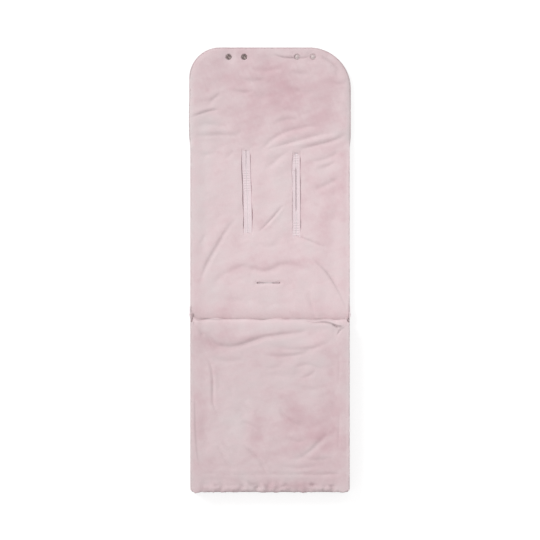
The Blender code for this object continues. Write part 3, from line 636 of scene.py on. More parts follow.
def shaded(colour, share):
    return tuple(level * share for level in colour)


def feed(tree, node, inputs):
    """Gives a node's inputs their values, or links them to other nodes' sockets."""
    for key, value in inputs.items():
        if isinstance(value, bpy.types.NodeSocket):
            tree.links.new(value, node.inputs[key])
        else:
            node.inputs[key].default_value = value


def add_node(tree, kind, inputs=None, **settings):
    """A new node with its settings and inputs."""
    made = tree.nodes.new(kind)
    for key, value in settings.items():
        setattr(made, key, value)
    feed(tree, made, inputs or {})
    return made


def spread(tree, factor, low, high):
    """A number from low to high as a factor goes from 0 to 1."""
    inputs = {"Value": factor, "To Min": low, "To Max": high}
    return add_node(tree, "ShaderNodeMapRange", inputs).outputs["Result"]


class Look:
    """A material with its nodes. Own pieces are painted by their place at rest."""

    def __init__(self, name, colour, roughness, metallic=0.0, own=True):
        self.material = bpy.data.materials.new(name)
        self.material.use_nodes = True
        self.tree = self.material.node_tree
        self.set({"Base Color": rgb(colour), "Roughness": roughness, "Metallic": metallic})
        if own:
            self.spot = self.add("ShaderNodeAttribute", attribute_name="rest").outputs["Vector"]
        else:
            self.spot = self.add("ShaderNodeTexCoord").outputs["Object"]
        self.height = None

    def set(self, inputs):
        """Gives the main shader's inputs their values or sockets."""
        feed(self.tree, self.tree.nodes["Principled BSDF"], inputs)

    def add(self, kind, inputs=None, **settings):
        return add_node(self.tree, kind, inputs, **settings)

    def noise(self, scale, detail=2.0, roughness=0.5, stretch=None):
        spot = self.spot
        if stretch:
            spot = self.add("ShaderNodeMapping", {"Vector": spot, "Scale": stretch}).outputs["Vector"]
        inputs = {"Vector": spot, "Scale": scale, "Detail": detail, "Roughness": roughness}
        return self.add("ShaderNodeTexNoise", inputs).outputs["Fac"]

    def math(self, operation, *values):
        return self.add("ShaderNodeMath", dict(enumerate(values)), operation=operation).outputs[0]

    def ramp(self, factor, *stops):
        made = self.add("ShaderNodeValToRGB", {"Fac": factor})
        elements = made.color_ramp.elements
        while len(elements) < len(stops):
            elements.new(0.5)
        for element, (place, colour) in zip(elements, stops):
            element.position = place
            element.color = rgb(colour)
        return made.outputs["Color"]

    def multiply(self, colour, low, high, factor):
        """Darkens a colour by a grey from low to high as factor goes from 0 to 1."""
        inputs = {"Factor": 1, 6: colour, 7: spread(self.tree, factor, low, high)}
        return self.add("ShaderNodeMix", inputs, data_type="RGBA", blend_type="MULTIPLY").outputs[2]

    def bump(self, factor, distance, strength):
        """Adds relief, distance in metres for a full step of the factor."""
        inputs = {"Distance": distance, "Strength": strength, "Height": factor}
        if self.height:
            inputs["Normal"] = self.height
        self.height = self.add("ShaderNodeBump", inputs).outputs["Normal"]
        self.set({"Normal": self.height})


def plush_look(name, nap_tones, relief=True):
    """Short silky pile: tones by how the nap lies, with the fine grain of its fibres."""
    look = Look(name, nap_tones[1], 0.92)
    lie = look.add("ShaderNodeAttribute", attribute_name="nap").outputs["Fac"]
    brushed = look.noise(40, 5, 0.6, (0.8, 1, 1))
    lie = look.math("ADD", lie, look.math("MULTIPLY", look.math("SUBTRACT", brushed, 0.5), 0.45))
    colour = look.ramp(lie, (0.0, nap_tones[0]), (0.5, nap_tones[1]), (1.0, nap_tones[2]))
    tufts = look.noise(420, 3, 0.65)
    strands = look.noise(1300, 2, 0.6, (1, 0.45, 1))
    colour = look.multiply(colour, 0.94, 1.06, tufts)
    colour = look.multiply(colour, 0.95, 1.05, strands)
    # The tone attribute carries broad tones together with painted shade in the folds and along the dark lines, and
    # painted light at the pile's edges.
    shade = look.add("ShaderNodeAttribute", attribute_name="tone").outputs["Fac"]
    look.set({"Base Color": look.multiply(colour, 0.8, 1.2, shade), "Specular IOR Level": 0.15})
    look.set({"Sheen Weight": 0.2, "Sheen Roughness": 0.45, "Sheen Tint": rgb((250, 236, 238))})
    if relief:
        look.bump(look.noise(90, 2, 0.5), 0.0009, 0.4)
        look.bump(tufts, 0.0006, 0.5)
        look.bump(strands, 0.0004, 0.6)
    return look.material


def woven_look(name, colour, threads, depth=0.00015):
    """Plain weave: two sets of threads over and under, with slubs and a little fading."""
    look = Look(name, colour, 0.82)
    axes = look.add("ShaderNodeSeparateXYZ", {0: look.spot}).outputs
    warp, weft = (
        look.math("SINE", look.math("MULTIPLY", look.math("ADD", axes[axis], axes["Z"]), threads)) for axis in "XY"
    )
    weave = look.math("MULTIPLY_ADD", look.math("MULTIPLY", warp, weft), 0.5, 0.5)
    fading = look.noise(18, 3)
    slubs = look.noise(260, 2, 0.5, (1, 0.12, 1))
    tone = look.ramp(fading, (0.25, shaded(colour, 0.975)), (0.75, shaded(colour, 1.015)))
    tone = look.multiply(tone, 0.9, 1.06, weave)
    tone = look.multiply(tone, 0.95, 1.04, slubs)
    look.set({"Base Color": tone, "Sheen Weight": 0.12, "Sheen Roughness": 0.5})
    look.bump(look.noise(60, 3), 0.0012, 0.35)
    look.bump(weave, depth, 0.8)
    return look.material


def wadding_look(name):
    """Fluffy white fibre fill."""
    look = Look(name, (240, 238, 233), 1.0)
    tufts = look.noise(180, 4, 0.7)
    tone = look.ramp(look.noise(40, 3), (0.3, (230, 228, 222)), (0.7, (246, 244, 240)))
    look.set({"Base Color": look.multiply(tone, 0.9, 1.05, tufts), "Sheen Weight": 0.1})
    look.bump(tufts, 0.002, 0.8)
    look.bump(look.noise(900, 2), 0.0004, 0.6)
    return look.material


def plastic_look(name, colour):
    """Moulded plastic, a little mottled."""
    look = Look(name, colour, 0.38, own=False)
    tone = look.ramp(look.noise(300, 2), (0.3, shaded(colour, 0.96)), (0.7, colour))
    look.set({"Base Color": tone, "Coat Weight": 0.15})
    look.bump(look.noise(900, 2), 0.00005, 0.4)
    return look.material


def metal_look(name, colour, roughness, metallic):
    """Bare or coated metal with fine scuffs."""
    look = Look(name, colour, roughness, metallic, own=False)
    scuffs = look.noise(500, 3, 0.6, (1, 0.2, 1))
    tone = look.ramp(scuffs, (0.3, shaded(colour, 0.93)), (0.7, colour))
    look.set({"Base Color": tone, "Roughness": spread(look.tree, scuffs, roughness * 0.8, roughness * 1.3)})
    look.bump(scuffs, 0.00003, 0.5)
    return look.material


PLUSH = plush_look("pink_plush", ((219, 207, 208), (220, 199, 202), (209, 177, 183)))
# The pile is a touch lighter than the plush: painted light against the shade among its thin strands.
PILE = plush_look("pink_pile", ((221, 209, 210), (222, 201, 204), (211, 179, 185)), relief=False)
OUTER = woven_look("pink_outer_fabric", (205, 178, 182), 5200)
WADDING = wadding_look("white_wadding")
TAPE = woven_look("pink_slot_tape", (228, 210, 214), 4200, depth=0.0001)
ZIP_TAPE = woven_look("pink_zip_tape", (214, 190, 194), 6500)
TEETH = plastic_look("pink_zip_teeth", (236, 217, 220))
METAL = metal_look("pink_coated_metal", (240, 223, 226), 0.55, 0.0)
# The sockets' nickel is painted darker than the studs' and caps' metal, as shade in the dimples where they sit.
SNAP = metal_look("nickel_press_stud", (150, 136, 134), 0.32, 0.9)
PALE_SNAP = metal_look("pale_press_stud", (205, 190, 190), 0.35, 0.55)
THREAD = woven_look("pink_thread", (214, 190, 194), 9000, depth=0.00008)


def dress(piece, look):
    """Gives a piece its look."""
    piece.data.materials.clear()
    piece.data.materials.append(look)
    record_rest(piece)


# Outlines in the plan


def corner_draw(y, end, radius):
    """How far a rounded corner draws the side in at y, for an end at y = end (+ radius: the head, -: the foot)."""
    rise = np.clip((y - end) * np.sign(radius) + abs(radius), 0, abs(radius))
    return abs(radius) - np.sqrt(radius**2 - rise**2)


def side_reach(y, side, upper):
    """How far out the pile reaches at the sides of the mat (upper) or the cover: drawn in at the waist."""
    if upper:
        soft, waist = (34, 174.4) if side > 0 else (16, 176.6)
        share = smooth((y - KNEE_Y) / soft)
    else:
        soft, waist = (9, 174.8) if side > 0 else (8, 176.8)
        share = smooth((KNEE_Y - y) / soft)
    shift = side + 4 * upper
    wobble = 0.4 * waves(y, 0 * y, 30, 81 + shift, 8) + 0.25 * waves(y, 0 * y, 11, 91 + shift, 8)
    return waist + (PILE_REACH - waist) * share + wobble * share


def side_wall(y, side, upper):
    """Half width of the plush beside the zips, inside the sliders' way."""
    return np.minimum(WALL, side_reach(y, side, upper) - SLIDER_ROOM)


def head_draw(y, end, side):
    """How far the head's rounded corner draws the side in."""
    return corner_draw(y, end, LEFT_CORNER if side < 0 else RIGHT_CORNER)


def mat_half(y, side):
    """Half width of the mat's plush: beside the zips along the seat, and the whole width above them."""
    wobble = waves(y, y * 0, 34, 31 + side, 6) * 0.35 + waves(y, y * 0, 90, 41 + side, 5) * 0.5
    half = side_wall(y, side, True)
    half += (179.0 - half) * smooth((y - WIDER_FROM + 4) / 5)
    half += (HEAD_HALF - 1.0 + wobble - half) * smooth((y - WIDER_FROM) / 32)
    return half - head_draw(y, HEAD_Y, side)


def shell_half(y, side):
    """Half width of the mat's outer fabric."""
    half = SHELL_HALF + (HEAD_HALF - 0.4 - SHELL_HALF) * smooth((y - WIDER_FROM + 2) / 30)
    return half - head_draw(y, SHELL_HEAD_Y, side)


def foot_half(y, side):
    """Half width of the sack's outer fabric, the same on either side."""
    return SHELL_HALF + 0 * y - corner_draw(y, FOOT_Y, -FOOT_CORNER)


def inset(x, y, half, head=None, foot=None):
    """Distance in from an outline: head and foot are (end, radius at the left, radius at the right)."""
    calm = y
    if head:
        calm = np.minimum(calm, head[0] - max(head[1:]))
    if foot:
        calm = np.maximum(calm, foot[0] + max(foot[1:]))
    distance = np.minimum(np.minimum(x + half(calm, -1), half(calm, 1) - x), 60)
    for end, way in ((head, 1), (foot, -1)):
        if not end:
            continue
        distance = np.minimum(distance, (end[0] - y) * way)
        for sign, radius in ((-1, end[1]), (1, end[2])):
            cx = sign * (half(np.array(end[0] - way * max(end[1:])), sign) - radius)
            cy = end[0] - way * radius
            in_corner = ((x - cx) * sign > 0) & ((y - cy) * way > 0)
            distance = np.where(in_corner, np.minimum(distance, radius - np.hypot(x - cx, y - cy)), distance)
    return np.maximum(distance, 0)


def rolled(distance, reach, drop):
    """How far a rolled edge falls at a distance in from it."""
    share = 1 - np.clip(distance / reach, 0, 1)
    return drop * (1 - np.sqrt(1 - share**2 * 0.999))


def below(z, limit, soft=0.8):
    """Keeps a height under a limit, bending softly."""
    return limit - soft * np.logaddexp(0, (limit - z) / soft - 0.6)


EDGE = np.array((0, 0.25, 0.5, 0.8, 1.3, 2.1, 3.3, 5, 7.3, 10.3, 14))


def tray_plan(half, foot, head, step, closed_foot, closed_head):
    """A grid over the plan whose rows and columns crowd towards the outline."""
    low = foot + EDGE if closed_foot else np.array([foot])
    high = head - EDGE[::-1] if closed_head else np.array([head])
    rows = np.concatenate([low, places(low[-1], high[0], step)[1:-1], high])
    share = places(0, 1, step / (2 * HEAD_HALF))[1:-1]
    x_rows = []
    for y in rows:
        left = -float(half(np.array(y), -1))
        right = float(half(np.array(y), 1))
        x_rows.append(np.concatenate([
            left + EDGE, left + EDGE[-1] + (right - left - 2 * EDGE[-1]) * share, right - EDGE[::-1]
        ]))
    x = np.array(x_rows)
    return x, rows[:, None] + 0 * x


def thin(name, x, y, z, thick):
    """A sheet: a grid's surface and the same drawn back by its thickness, closed round the rim."""
    grid = np.stack([x, y, z], -1)
    normal = np.cross(np.gradient(grid, axis=1), np.gradient(grid, axis=0))
    normal /= np.linalg.norm(normal, axis=-1, keepdims=True) + 1e-9
    back = grid + normal * thick
    skin = Skin()
    front = skin.grid(x, y, z)
    hidden = skin.grid(back[..., 0], back[..., 1], back[..., 2])
    skin.band(rim(front), rim(hidden))
    return skin.make(name)


def blend_head(piece):
    """Bakes the place of a piece that sits over the hood's fold into its points."""
    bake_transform(piece)


def blend_knee(piece):
    """Bakes the place of a piece that sits over the knee's fold into its points."""
    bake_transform(piece)


# The mat's plush

SLOTS = {
    "left": (node_box("harness_slot_left_binding"), ((-90, 0.8), (110, 1.6), (176, 0), (230, -2.4), (290, -3.0))),
    "right": (node_box("harness_slot_right_binding"), ((-90, 0.6), (90, 0.6), (170, 0), (250, -0.4), (290, -0.6))),
}
CROTCH = node_box("crotch_slot_binding")
STUDS = ("press_socket_left_outer", "press_socket_left_inner", "press_stud_right_inner", "press_stud_right_outer")
STUD_BOXES = [node_box(name) for name in STUDS]
CROTCH_X, CROTCH_Y = ((CROTCH[0] + CROTCH[1]) / 2)[:2]


def lean(name, y):
    """How far a slot's middle line wanders from its place at y."""
    return np.interp(y, *zip(*SLOTS[name][1]))


def slot_bed(x, y):
    """1 in the bed of a harness slot's tape, 0 outside, with a soft edge."""
    bed = np.zeros_like(x)
    for name, ((low, high), _) in SLOTS.items():
        away = x - lean(name, y)
        fit = 0.45 * waves(y, 0 * y, 22, 74 + len(name), 8)
        near, far = (0.1, 0.1) if name == "left" else (-1.6, 0.2)
        sides = np.minimum(away - low[0] + near + fit, high[0] - away + far - fit)
        ends = np.minimum(y - low[1], high[1] - y)
        along = 0.33 * smooth(ends / 13) + 0.67 * smooth((ends - 12) / 16)
        bed = np.maximum(bed, smooth(0.5 + sides / 1.7) * along)
    return bed


def mat_top(x, y):
    """Height of the mat's plush, with its folds, rolled edges, stud dimples and slots."""
    edge = inset(x, y, mat_half, HEAD_END)
    top = MAT_TOP + 0.9 * smooth(edge / 60)
    top += creases(x, y, MAT_FOLDS)
    top += 0.45 * waves(x, y, 55, 11) + 0.26 * waves(x, y, 24, 12) + 0.10 * waves(x, y, 9, 13)
    top += 2.4 * smooth((KNEE_Y + 42 - y) / 40)
    seat = 1 - smooth((y - SEAT_END) / 26)
    top -= rolled(edge, 15, 5.0) * (1 - seat)
    top -= rolled(y - SEAT_LOW[1], 8, 2.2)
    top += (MAT_TOP + MAT_LIP_RISE - top) * (1 - smooth((edge - LIP) / LIP_RAMP)) * seat
    top = top * (1 - seat) + below(top, MAT_LIMIT) * seat - rolled(edge, RIM_ROLL, 0.5) * seat
    for low, high in STUD_BOXES:
        middle = (low + high) / 2
        away = np.hypot(x - middle[0], y - middle[1])
        top -= 1.5 * bell(away - 9, 7) * (away > 5)
        dip = smooth((7.4 - away) / 2.0)
        top = top * (1 - dip) + (SOCKET_BED if middle[0] < 0 else STUD_BED) * dip
    for (low, high), _ in SLOTS.values():
        beside = np.maximum(np.maximum(low[0] - x, x - high[0]), np.maximum(low[1] - y, y - high[1]))
        top -= 0.7 * bell(beside, 9)
    bed = slot_bed(x, y)
    top = top * (1 - bed) + SLOT_BED * bed
    away, _, _ = off_line(x, y, ((CROTCH[0][0] + 6, CROTCH_Y), (CROTCH[1][0] - 6, CROTCH_Y)))
    top -= 1.7 * bell(away, 4.5)
    return top


def eye_space(piece, middle, length, narrow, wide):
    """Cuts a slit that gapes at both ends, through a piece."""
    half = length / 2
    shape = [(0.2, 0), (0.5, 0.5), (0.74, 1), (0.9, 0.9), (1, 0.2)]
    shape = [(-along, gape) for along, gape in shape[::-1]] + shape
    line = [(along * half, (narrow + (wide - narrow) * gape) / 2) for along, gape in shape]
    loop = [(middle[0] + x, middle[1] + y) for x, y in line + [(x, -y) for x, y in line[::-1]]]
    cut_out(piece, loop, CUT_LOW, CUT_HIGH)


def make_mat_plush():
    sides = [(box[side][0] / HEAD_HALF, 0.7 / HEAD_HALF) for box, _ in SLOTS.values() for side in (0, 1)]
    columns = places(-1, 1, GRAIN / HEAD_HALF, [*RIM_COLUMNS, *sides])
    ends = [(box[side][1], 0.8) for box, _ in SLOTS.values() for side in (0, 1)]
    stud_y = (STUD_BOXES[0][0][1] + STUD_BOXES[0][1][1]) / 2
    ends += [(HEAD_Y, 0.5), (SEAT_LOW[1], 0.8), (stud_y, 1.3), (CROTCH_Y, 1.0)]
    rows = places(SEAT_LOW[1], HEAD_Y, GRAIN, ends)
    y, across = lattice(rows, columns)
    left = -mat_half(rows, -1)[:, None]
    right = mat_half(rows, 1)[:, None]
    # The middle follows the slots' lean and the sides follow the outline.
    straight = HEAD_HALF * across
    leaning = [lean(name, y) * bell(straight - at, 26) for name, at in (("left", -51), ("right", 59))]
    straight += leaning[0] + leaning[1]
    fitted = left + (right - left) * (across + 1) / 2
    hold = smooth((abs(across) - 0.42) / 0.5)
    hold += (1 - hold) * smooth((y - (HEAD_Y - RIGHT_CORNER)) / 40)
    x = straight * (1 - hold) + fitted * hold
    piece = closed_pad("mat_plush", x, y, mat_top(x, y), pad_rings(MAT_PLUSH_FLOOR), 14)
    for name, (box, _) in SLOTS.items():
        low, high = box
        bend = (float(lean(name, (low[1] + high[1]) / 2)), 0, 0)
        cut_block(piece, (low + bend, high + bend), 5.6, 8, CUT_LOW, CUT_HIGH)
    eye_space(piece, (CROTCH_X, CROTCH_Y), 53, 1.0, 5.0)
    dress(piece, PLUSH)
    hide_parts("seat_lining", "head_lining")
    blend_head(piece)


# The cover's plush, which turns round the sack's mouth


def cover_swell(x, y):
    """The broad soft bumps of the cover, which the hem shares at its seam."""
    return 0.5 * waves(x, y, 50, 21) + 0.28 * waves(x, y, 22, 22)


def cover_top(x, y):
    """Height of the cover's plush."""
    side = cover_inset(x, y)
    top = COVER_TOP + 0.6 * smooth(side / 60)
    top += creases(x, y, COVER_FOLDS) + creases(x, y, PINCH_FOLDS)
    top += cover_swell(x, y) + 0.10 * waves(x, y, 9, 23)
    lip = 1 - smooth((side - LIP) / LIP_RAMP)
    top -= seam_valley(x, y) * (1 - lip)
    top += 0.6 * bell(y - HEM_HIGH[1] - 9, 6) * (1 - lip)
    top += (COVER_TOP + COVER_LIP_RISE - top) * lip
    return below(top, COVER_LIMIT) - rolled(side, RIM_ROLL, 0.4)


def cover_inset(x, y):
    """Distance in from the cover's outline at the sides."""
    return np.maximum(np.minimum(x + side_wall(y, -1, False), side_wall(y, 1, False) - x), 0)


def seam_valley(x, y):
    """How deep the hem's seam draws the plush in: hardly at the left, more at the right."""
    deep = (0.2 + 0.7 * smooth((x + 60) / 90)) * (1 + 0.45 * waves(x, 0 * x, 26, 73, 8))
    return deep * bell(y - HEM_HIGH[1], 4.5)


def cover_columns(columns, y):
    """Places across the cover at y."""
    left, right = (float(side_wall(np.array(y), side, False)) for side in (-1, 1))
    return columns * np.where(columns < 0, left, right)


def make_cover_plush():
    """The cover's fleece, the roll at the sack's mouth and the start of the lining inside, as one skin."""
    pinch = [(x / PLUSH_HALF, 1.0 / PLUSH_HALF) for x in (136, 144, 152, 160)]
    columns = places(-1, 1, GRAIN / PLUSH_HALF, [*RIM_COLUMNS, *pinch])
    start, last = COVER_LOW[1] - 0.5, KNEE_Y - 17
    flat = places(start, last, GRAIN, [(start, 0.35), (-138, 1.0), (last, 1.0)])
    last = flat[-1]
    mouth = np.interp(columns * PLUSH_HALF, *zip(*MOUTH_LINE)) + 0.5 * waves(columns * 174, 0 * columns, 16, 71, 8)
    mouth = np.maximum(np.convolve(np.pad(mouth, 3, mode="edge"), np.ones(7) / 7, mode="valid"), KNEE_Y + 1.5)
    turns = np.linspace(0, math.pi, 34)[1:]
    plain = columns * WALL
    folds = COVER_FOLDS + PINCH_FOLDS
    level = creases(plain, last + 0 * plain, folds)
    grid = []
    for y in flat:
        x = cover_columns(columns, y)
        grid.append((x, y + 0 * x, cover_top(x, y + 0 * x), plain))
    x, _, top, _ = grid[-1]
    low = FRONT_LOW[2] + 0.1
    for angle in turns:
        front = last + (mouth - last) * math.sin(angle) ** 0.75
        z = (top + low) / 2 + (top - low) / 2 * math.cos(angle)
        if angle < math.pi / 2:
            z += (creases(plain, front, folds) - level) * math.cos(angle) ** 0.5
        z = np.minimum(z, ROLL_LIMIT)
        narrow = 1 - 0.008 * math.sin(angle) ** 2
        grid.append((x * narrow, front, z, plain * narrow))
    for step in np.linspace(0, 46, 11)[1:]:
        grid.append((plain, last - step + 0 * plain, low + 0.3 * waves(plain, plain * 0 + step, 30, 72), plain))
    x, y, z, plain = (np.array(part) for part in zip(*grid))
    inner_x, inner_y, inner_z = plain * (1 - 1.0 / PLUSH_HALF), y.copy(), z.copy()
    count = len(flat)
    floor, ceiling = COVER_LOW[2] + 0.1, FRONT_LOW[2] + 6.6
    inner_z[:count] = floor
    middle = (floor + ceiling) / 2
    for number, angle in enumerate(turns, count):
        inner_y[number] = last + (KNEE_Y + 0.2 - last) * math.sin(angle) ** 0.3
        inner_z[number] = middle + (floor - middle) * math.cos(angle)
    inner_z[count + len(turns):] = ceiling
    skin = Skin()
    outer = rim(skin.grid(x, y, z))
    inner = rim(skin.grid(inner_x, inner_y, inner_z))
    edge, back = (np.array([skin.points[number] for number in loop]) for loop in (outer, inner))
    first = skin.add(edge * 0.95 + back * 0.05)
    second = skin.add(edge * 0.85 + back * 0.15)
    for low_loop, high_loop in ((outer, first), (first, second), (second, inner)):
        skin.band(low_loop, high_loop)
    piece = skin.make("cover_plush")
    dress(piece, PLUSH)
    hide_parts("cover_lining", "sack_front_lining")
    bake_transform(piece)


def hem_reach(y, side):
    """How far out the pile of the hem reaches."""
    room = SLIDER_ROOM * smooth((HEM_HIGH[1] - y) / 12)
    return side_reach(y, side, False) - room - corner_draw(y, FOOT_Y, -FOOT_CORNER)


def hem_half(y, side):
    """Half width of the hem's plush."""
    return np.minimum(WALL, hem_reach(y, side))


# Small hollows of the hem: x, y and size
HEM_DIPS = ((-36, -484, 7), (-28, -490, 5), (95, -485, 6), (138, -487, 6), (30, -488, 5), (-120, -486, 5))


def hem_gathers(x):
    """How the hem's free end goes in and out along its length."""
    return 1.0 * waves(x, 0 * x, 13, 51, 12)


def hem_top(x, y):
    """Height of the hem's plush: level with the cover at its seam and gathered at its free end."""
    seam = HEM_HIGH[1] - y
    top = COVER_TOP + 0.3 + 0.4 * waves(x, y, 40, 53)
    top += (COVER_TOP + 0.6 + cover_swell(x, y) - top) * (1 - smooth(seam / 14))
    top -= rolled(y - FOOT_Y, 13, 6.5)
    top += 0.5 * bell(seam - 8, 5) * smooth((x + 40) / 60)
    gathers = waves(x, 0 * x, 15, 54, 12) + 0.7 * waves(x, y, 9, 55)
    top += 1.0 * gathers * bell(y - FOOT_Y - 11, 11)
    for dip_x, dip_y, size in HEM_DIPS:
        top -= 2.6 * bell(x - dip_x, size) * bell(y - dip_y, 0.6 * size)
    side = np.maximum(np.minimum(x + hem_half(y, -1), hem_half(y, 1) - x), 0)
    lip = 1 - smooth((side - LIP) / LIP_RAMP)
    top -= seam_valley(x, y) * (1 - lip)
    top += (COVER_TOP + COVER_LIP_RISE - rolled(y - FOOT_Y, 4, 2.5) - top) * lip
    return below(top, COVER_LIMIT) - rolled(side, RIM_ROLL, 0.4) * lip - 0.3 * smooth(-seam)


def make_hem():
    columns = places(-1, 1, GRAIN / PLUSH_HALF, RIM_COLUMNS)
    rows = places(FOOT_Y, HEM_HIGH[1] + 2.2, 1.8, [(FOOT_Y, 0.7), (HEM_HIGH[1] + 2.2, 0.4)])
    y, across = lattice(rows, columns)
    left, right = (hem_half(rows, side)[:, None] for side in (-1, 1))
    x = across * np.where(across < 0, left, right)
    top = hem_top(x, y)
    y = y + (hem_gathers(x) + 0.7 * waves(x, 0 * x, 6, 52, 12)) * smooth((FOOT_Y + 14 - y) / 14)
    piece = closed_pad("hem_plush", x, y, top, pad_rings(HEM_FLOOR), 8)
    dress(piece, PLUSH)
    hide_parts("cover_hem")
    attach(piece, "front_cover")


def make_foot_plush():
    """The lining inside the sack, which dips at the knee and carries on under the seat's edge."""
    columns = places(-1, 1, 4.5 / PLUSH_HALF)
    rows = places(POCKET_LOW[1], KNEE_Y + TUCK, 4.5, [(KNEE_Y, 1.5)])
    half = POCKET_HIGH[0] - 0.3
    y, across = lattice(rows, columns)
    x = across * half
    top = POCKET_HIGH[2] + 0.4 * waves(x, y, 40, 61) - rolled(half - abs(x), 10, 3)
    top -= 4.5 * smooth((y - KNEE_Y + 9) / 9)
    piece = closed_pad("foot_plush", x, y, top, ((0.8, 1.0, MAT_PLUSH_FLOOR),), 10)
    dress(piece, PLUSH)
    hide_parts("foot_mat_lining")
    blend_knee(piece)


# Pile that hangs over the edges

# Widths and thicknesses of strands, their spacing, and the levels that they grow from
FINE = (0.8, 0.3)
ZIP_STRAND = (1.35, 0.22)
FINE_PITCH = 0.5
ZIP_PITCH = 0.34
HEAD_LEVELS = (15.5, 18.5)
HEM_LEVELS = (46.5, 50.0)


def strands(name, roots, seed):
    """Flat tapering strands of pile. A root is its place, the way it points, its length, width and thickness."""
    chance = np.random.default_rng(seed)
    place, way, length, width, thick = (np.array(part, float) for part in zip(*roots))
    way /= np.linalg.norm(way, axis=1, keepdims=True)
    across = np.cross(way, (0, 0, 1))
    across /= np.linalg.norm(across, axis=1, keepdims=True)
    up = np.cross(across, way)
    bend = across * (chance.normal(0, 0.16, len(place)) * length)[:, None]
    half = across * width[:, None] / 2
    middle = place + way * (length * 0.55)[:, None] + bend * 0.35
    tip = place + way * length[:, None] + bend
    rise = up * thick[:, None]
    points = [place - half, place + half, place + rise]
    points += [middle - half * 0.7, middle + half * 0.7, middle + rise * 0.8, tip]
    points = np.stack(points, 1)
    faces = np.array([(0, 2, 1, 1), (0, 1, 4, 3), (1, 2, 5, 4), (2, 0, 3, 5), (3, 4, 6, 6), (4, 5, 6, 6), (5, 3, 6, 6)])
    skin = Skin()
    skin.points = list(map(tuple, points.reshape(-1, 3)))
    for number in range(len(points)):
        for face in faces + 7 * number:
            skin.faces.append(tuple(dict.fromkeys(face.tolist())))
    piece = skin.make(name)
    piece.data.shade_flat()
    dress(piece, PILE)
    return piece


def side_fringe(start, stop, wall, levels, chance):
    """Fine strands along the sides of an outline."""
    roots = []
    for side in (-1, 1):
        for y in np.arange(start, stop, FINE_PITCH):
            spot = y + chance.normal(0, 0.2)
            x = side * (float(wall(np.array(spot), side)) - 0.9)
            way = (side, chance.normal(-0.1, 0.4), chance.normal(0, 0.12))
            roots.append(((x, spot, chance.uniform(*levels)), way, chance.uniform(1.1, 2.3), *FINE))
    return roots


def zip_fringe(start, stop, wall, reach, level, chance):
    """Pile that hangs over the zips, in two layers: from the plush's edge out to the outline."""
    roots = []
    for side in (-1, 1):
        for y in np.arange(start, stop, ZIP_PITCH):
            for back, short, rise in ((0.8, 0, 0), (2.4, chance.uniform(0.4, 3.0), 0.25)):
                spot = y + chance.normal(0, 0.2)
                inner, outer = (float(edge(np.array(spot), side)) for edge in (wall, reach))
                inner -= back
                length = max(outer + chance.uniform(-0.5, 0.9) - short - inner, 1.2)
                way = (side, chance.normal(-0.04, 0.14), chance.normal(0, 0.012))
                place = (side * inner, spot, level + rise + chance.uniform(0, 0.2))
                roots.append((place, way, length, *ZIP_STRAND))
    return roots


def head_fringe(chance):
    """Fine strands round the head end."""
    roots = side_fringe(280, HEAD_Y - RIGHT_CORNER, mat_half, HEAD_LEVELS, chance)
    for side, radius in ((-1, LEFT_CORNER), (1, RIGHT_CORNER)):
        cx = side * (float(mat_half(np.array(HEAD_Y - RIGHT_CORNER), side)) - radius)
        for angle in np.arange(0, math.pi / 2, FINE_PITCH / radius):
            turn = angle + chance.normal(0, 0.2) / radius
            out = np.array((side * math.cos(turn), math.sin(turn)))
            spot = np.array((cx, HEAD_Y - radius)) + out * (radius - 0.9)
            place = (*spot, chance.uniform(*HEAD_LEVELS))
            way = (*(out + chance.normal(0, 0.3, 2)), 0)
            roots.append((place, way, chance.uniform(1.0, 2.0), *FINE))
    for x in np.arange(-HEAD_HALF + LEFT_CORNER, HEAD_HALF - RIGHT_CORNER, FINE_PITCH):
        place = (x, HEAD_Y - 0.9, chance.uniform(*HEAD_LEVELS))
        roots.append((place, (chance.normal(0, 0.3), 1, 0), chance.uniform(0.8, 1.8), *FINE))
    return roots


def hem_fringe(chance):
    """Fine strands along the cover's free end."""
    roots = []
    for x in np.arange(-PLUSH_HALF + 6, PLUSH_HALF - 6, FINE_PITCH):
        y = FOOT_Y + 1.0 + float(hem_gathers(np.array([x]))[0])
        way = (chance.normal(0, 0.4), -1, chance.normal(0, 0.15))
        roots.append(((x, y, chance.uniform(*HEM_LEVELS)), way, chance.uniform(1.2, 2.4), *FINE))
    return roots


def make_pile():
    mat_reach = lambda y, side: side_reach(y, side, True)
    cover_reach = lambda y, side: side_reach(y, side, False)
    cover_wall = lambda y, side: side_wall(y, side, False)
    chance = np.random.default_rng(7)
    seat = zip_fringe(SEAT_LOW[1] + 1, WIDER_FROM + 1, mat_half, mat_reach, MAT_PILE, chance)
    mat = strands("mat_pile", seat + head_fringe(chance), 9)
    blend_head(mat)
    edge = zip_fringe(FOOT_Y + 5, HEM_HIGH[1], hem_half, hem_reach, COVER_PILE, chance)
    edge += zip_fringe(HEM_HIGH[1], KNEE_Y - 3, cover_wall, cover_reach, COVER_PILE, chance)
    cover = strands("cover_pile", edge + hem_fringe(chance), 19)
    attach(cover, "front_cover")


# Outer fabric


def outer_relief(x, y, seed):
    """Shallow hollows and draws of a padded fabric, never proud of its face."""
    height = 0.28 * waves(x, y, 34, seed, stretch=0.6) + 0.2 * waves(x, y, 13, seed + 1)
    return np.clip(0.55 - height, 0, 1.4)


def tray_face(x, y, edge, floor, drop, seed, relief):
    """A tray's face, from its floor up the rolled edge, with the seam's ridge along it."""
    z = floor + rolled(edge, 9, drop) + outer_relief(x, y, seed) * smooth((edge - 6) / 8) * relief
    return z + 0.5 * bell(edge - SEAM_IN, 1.6)


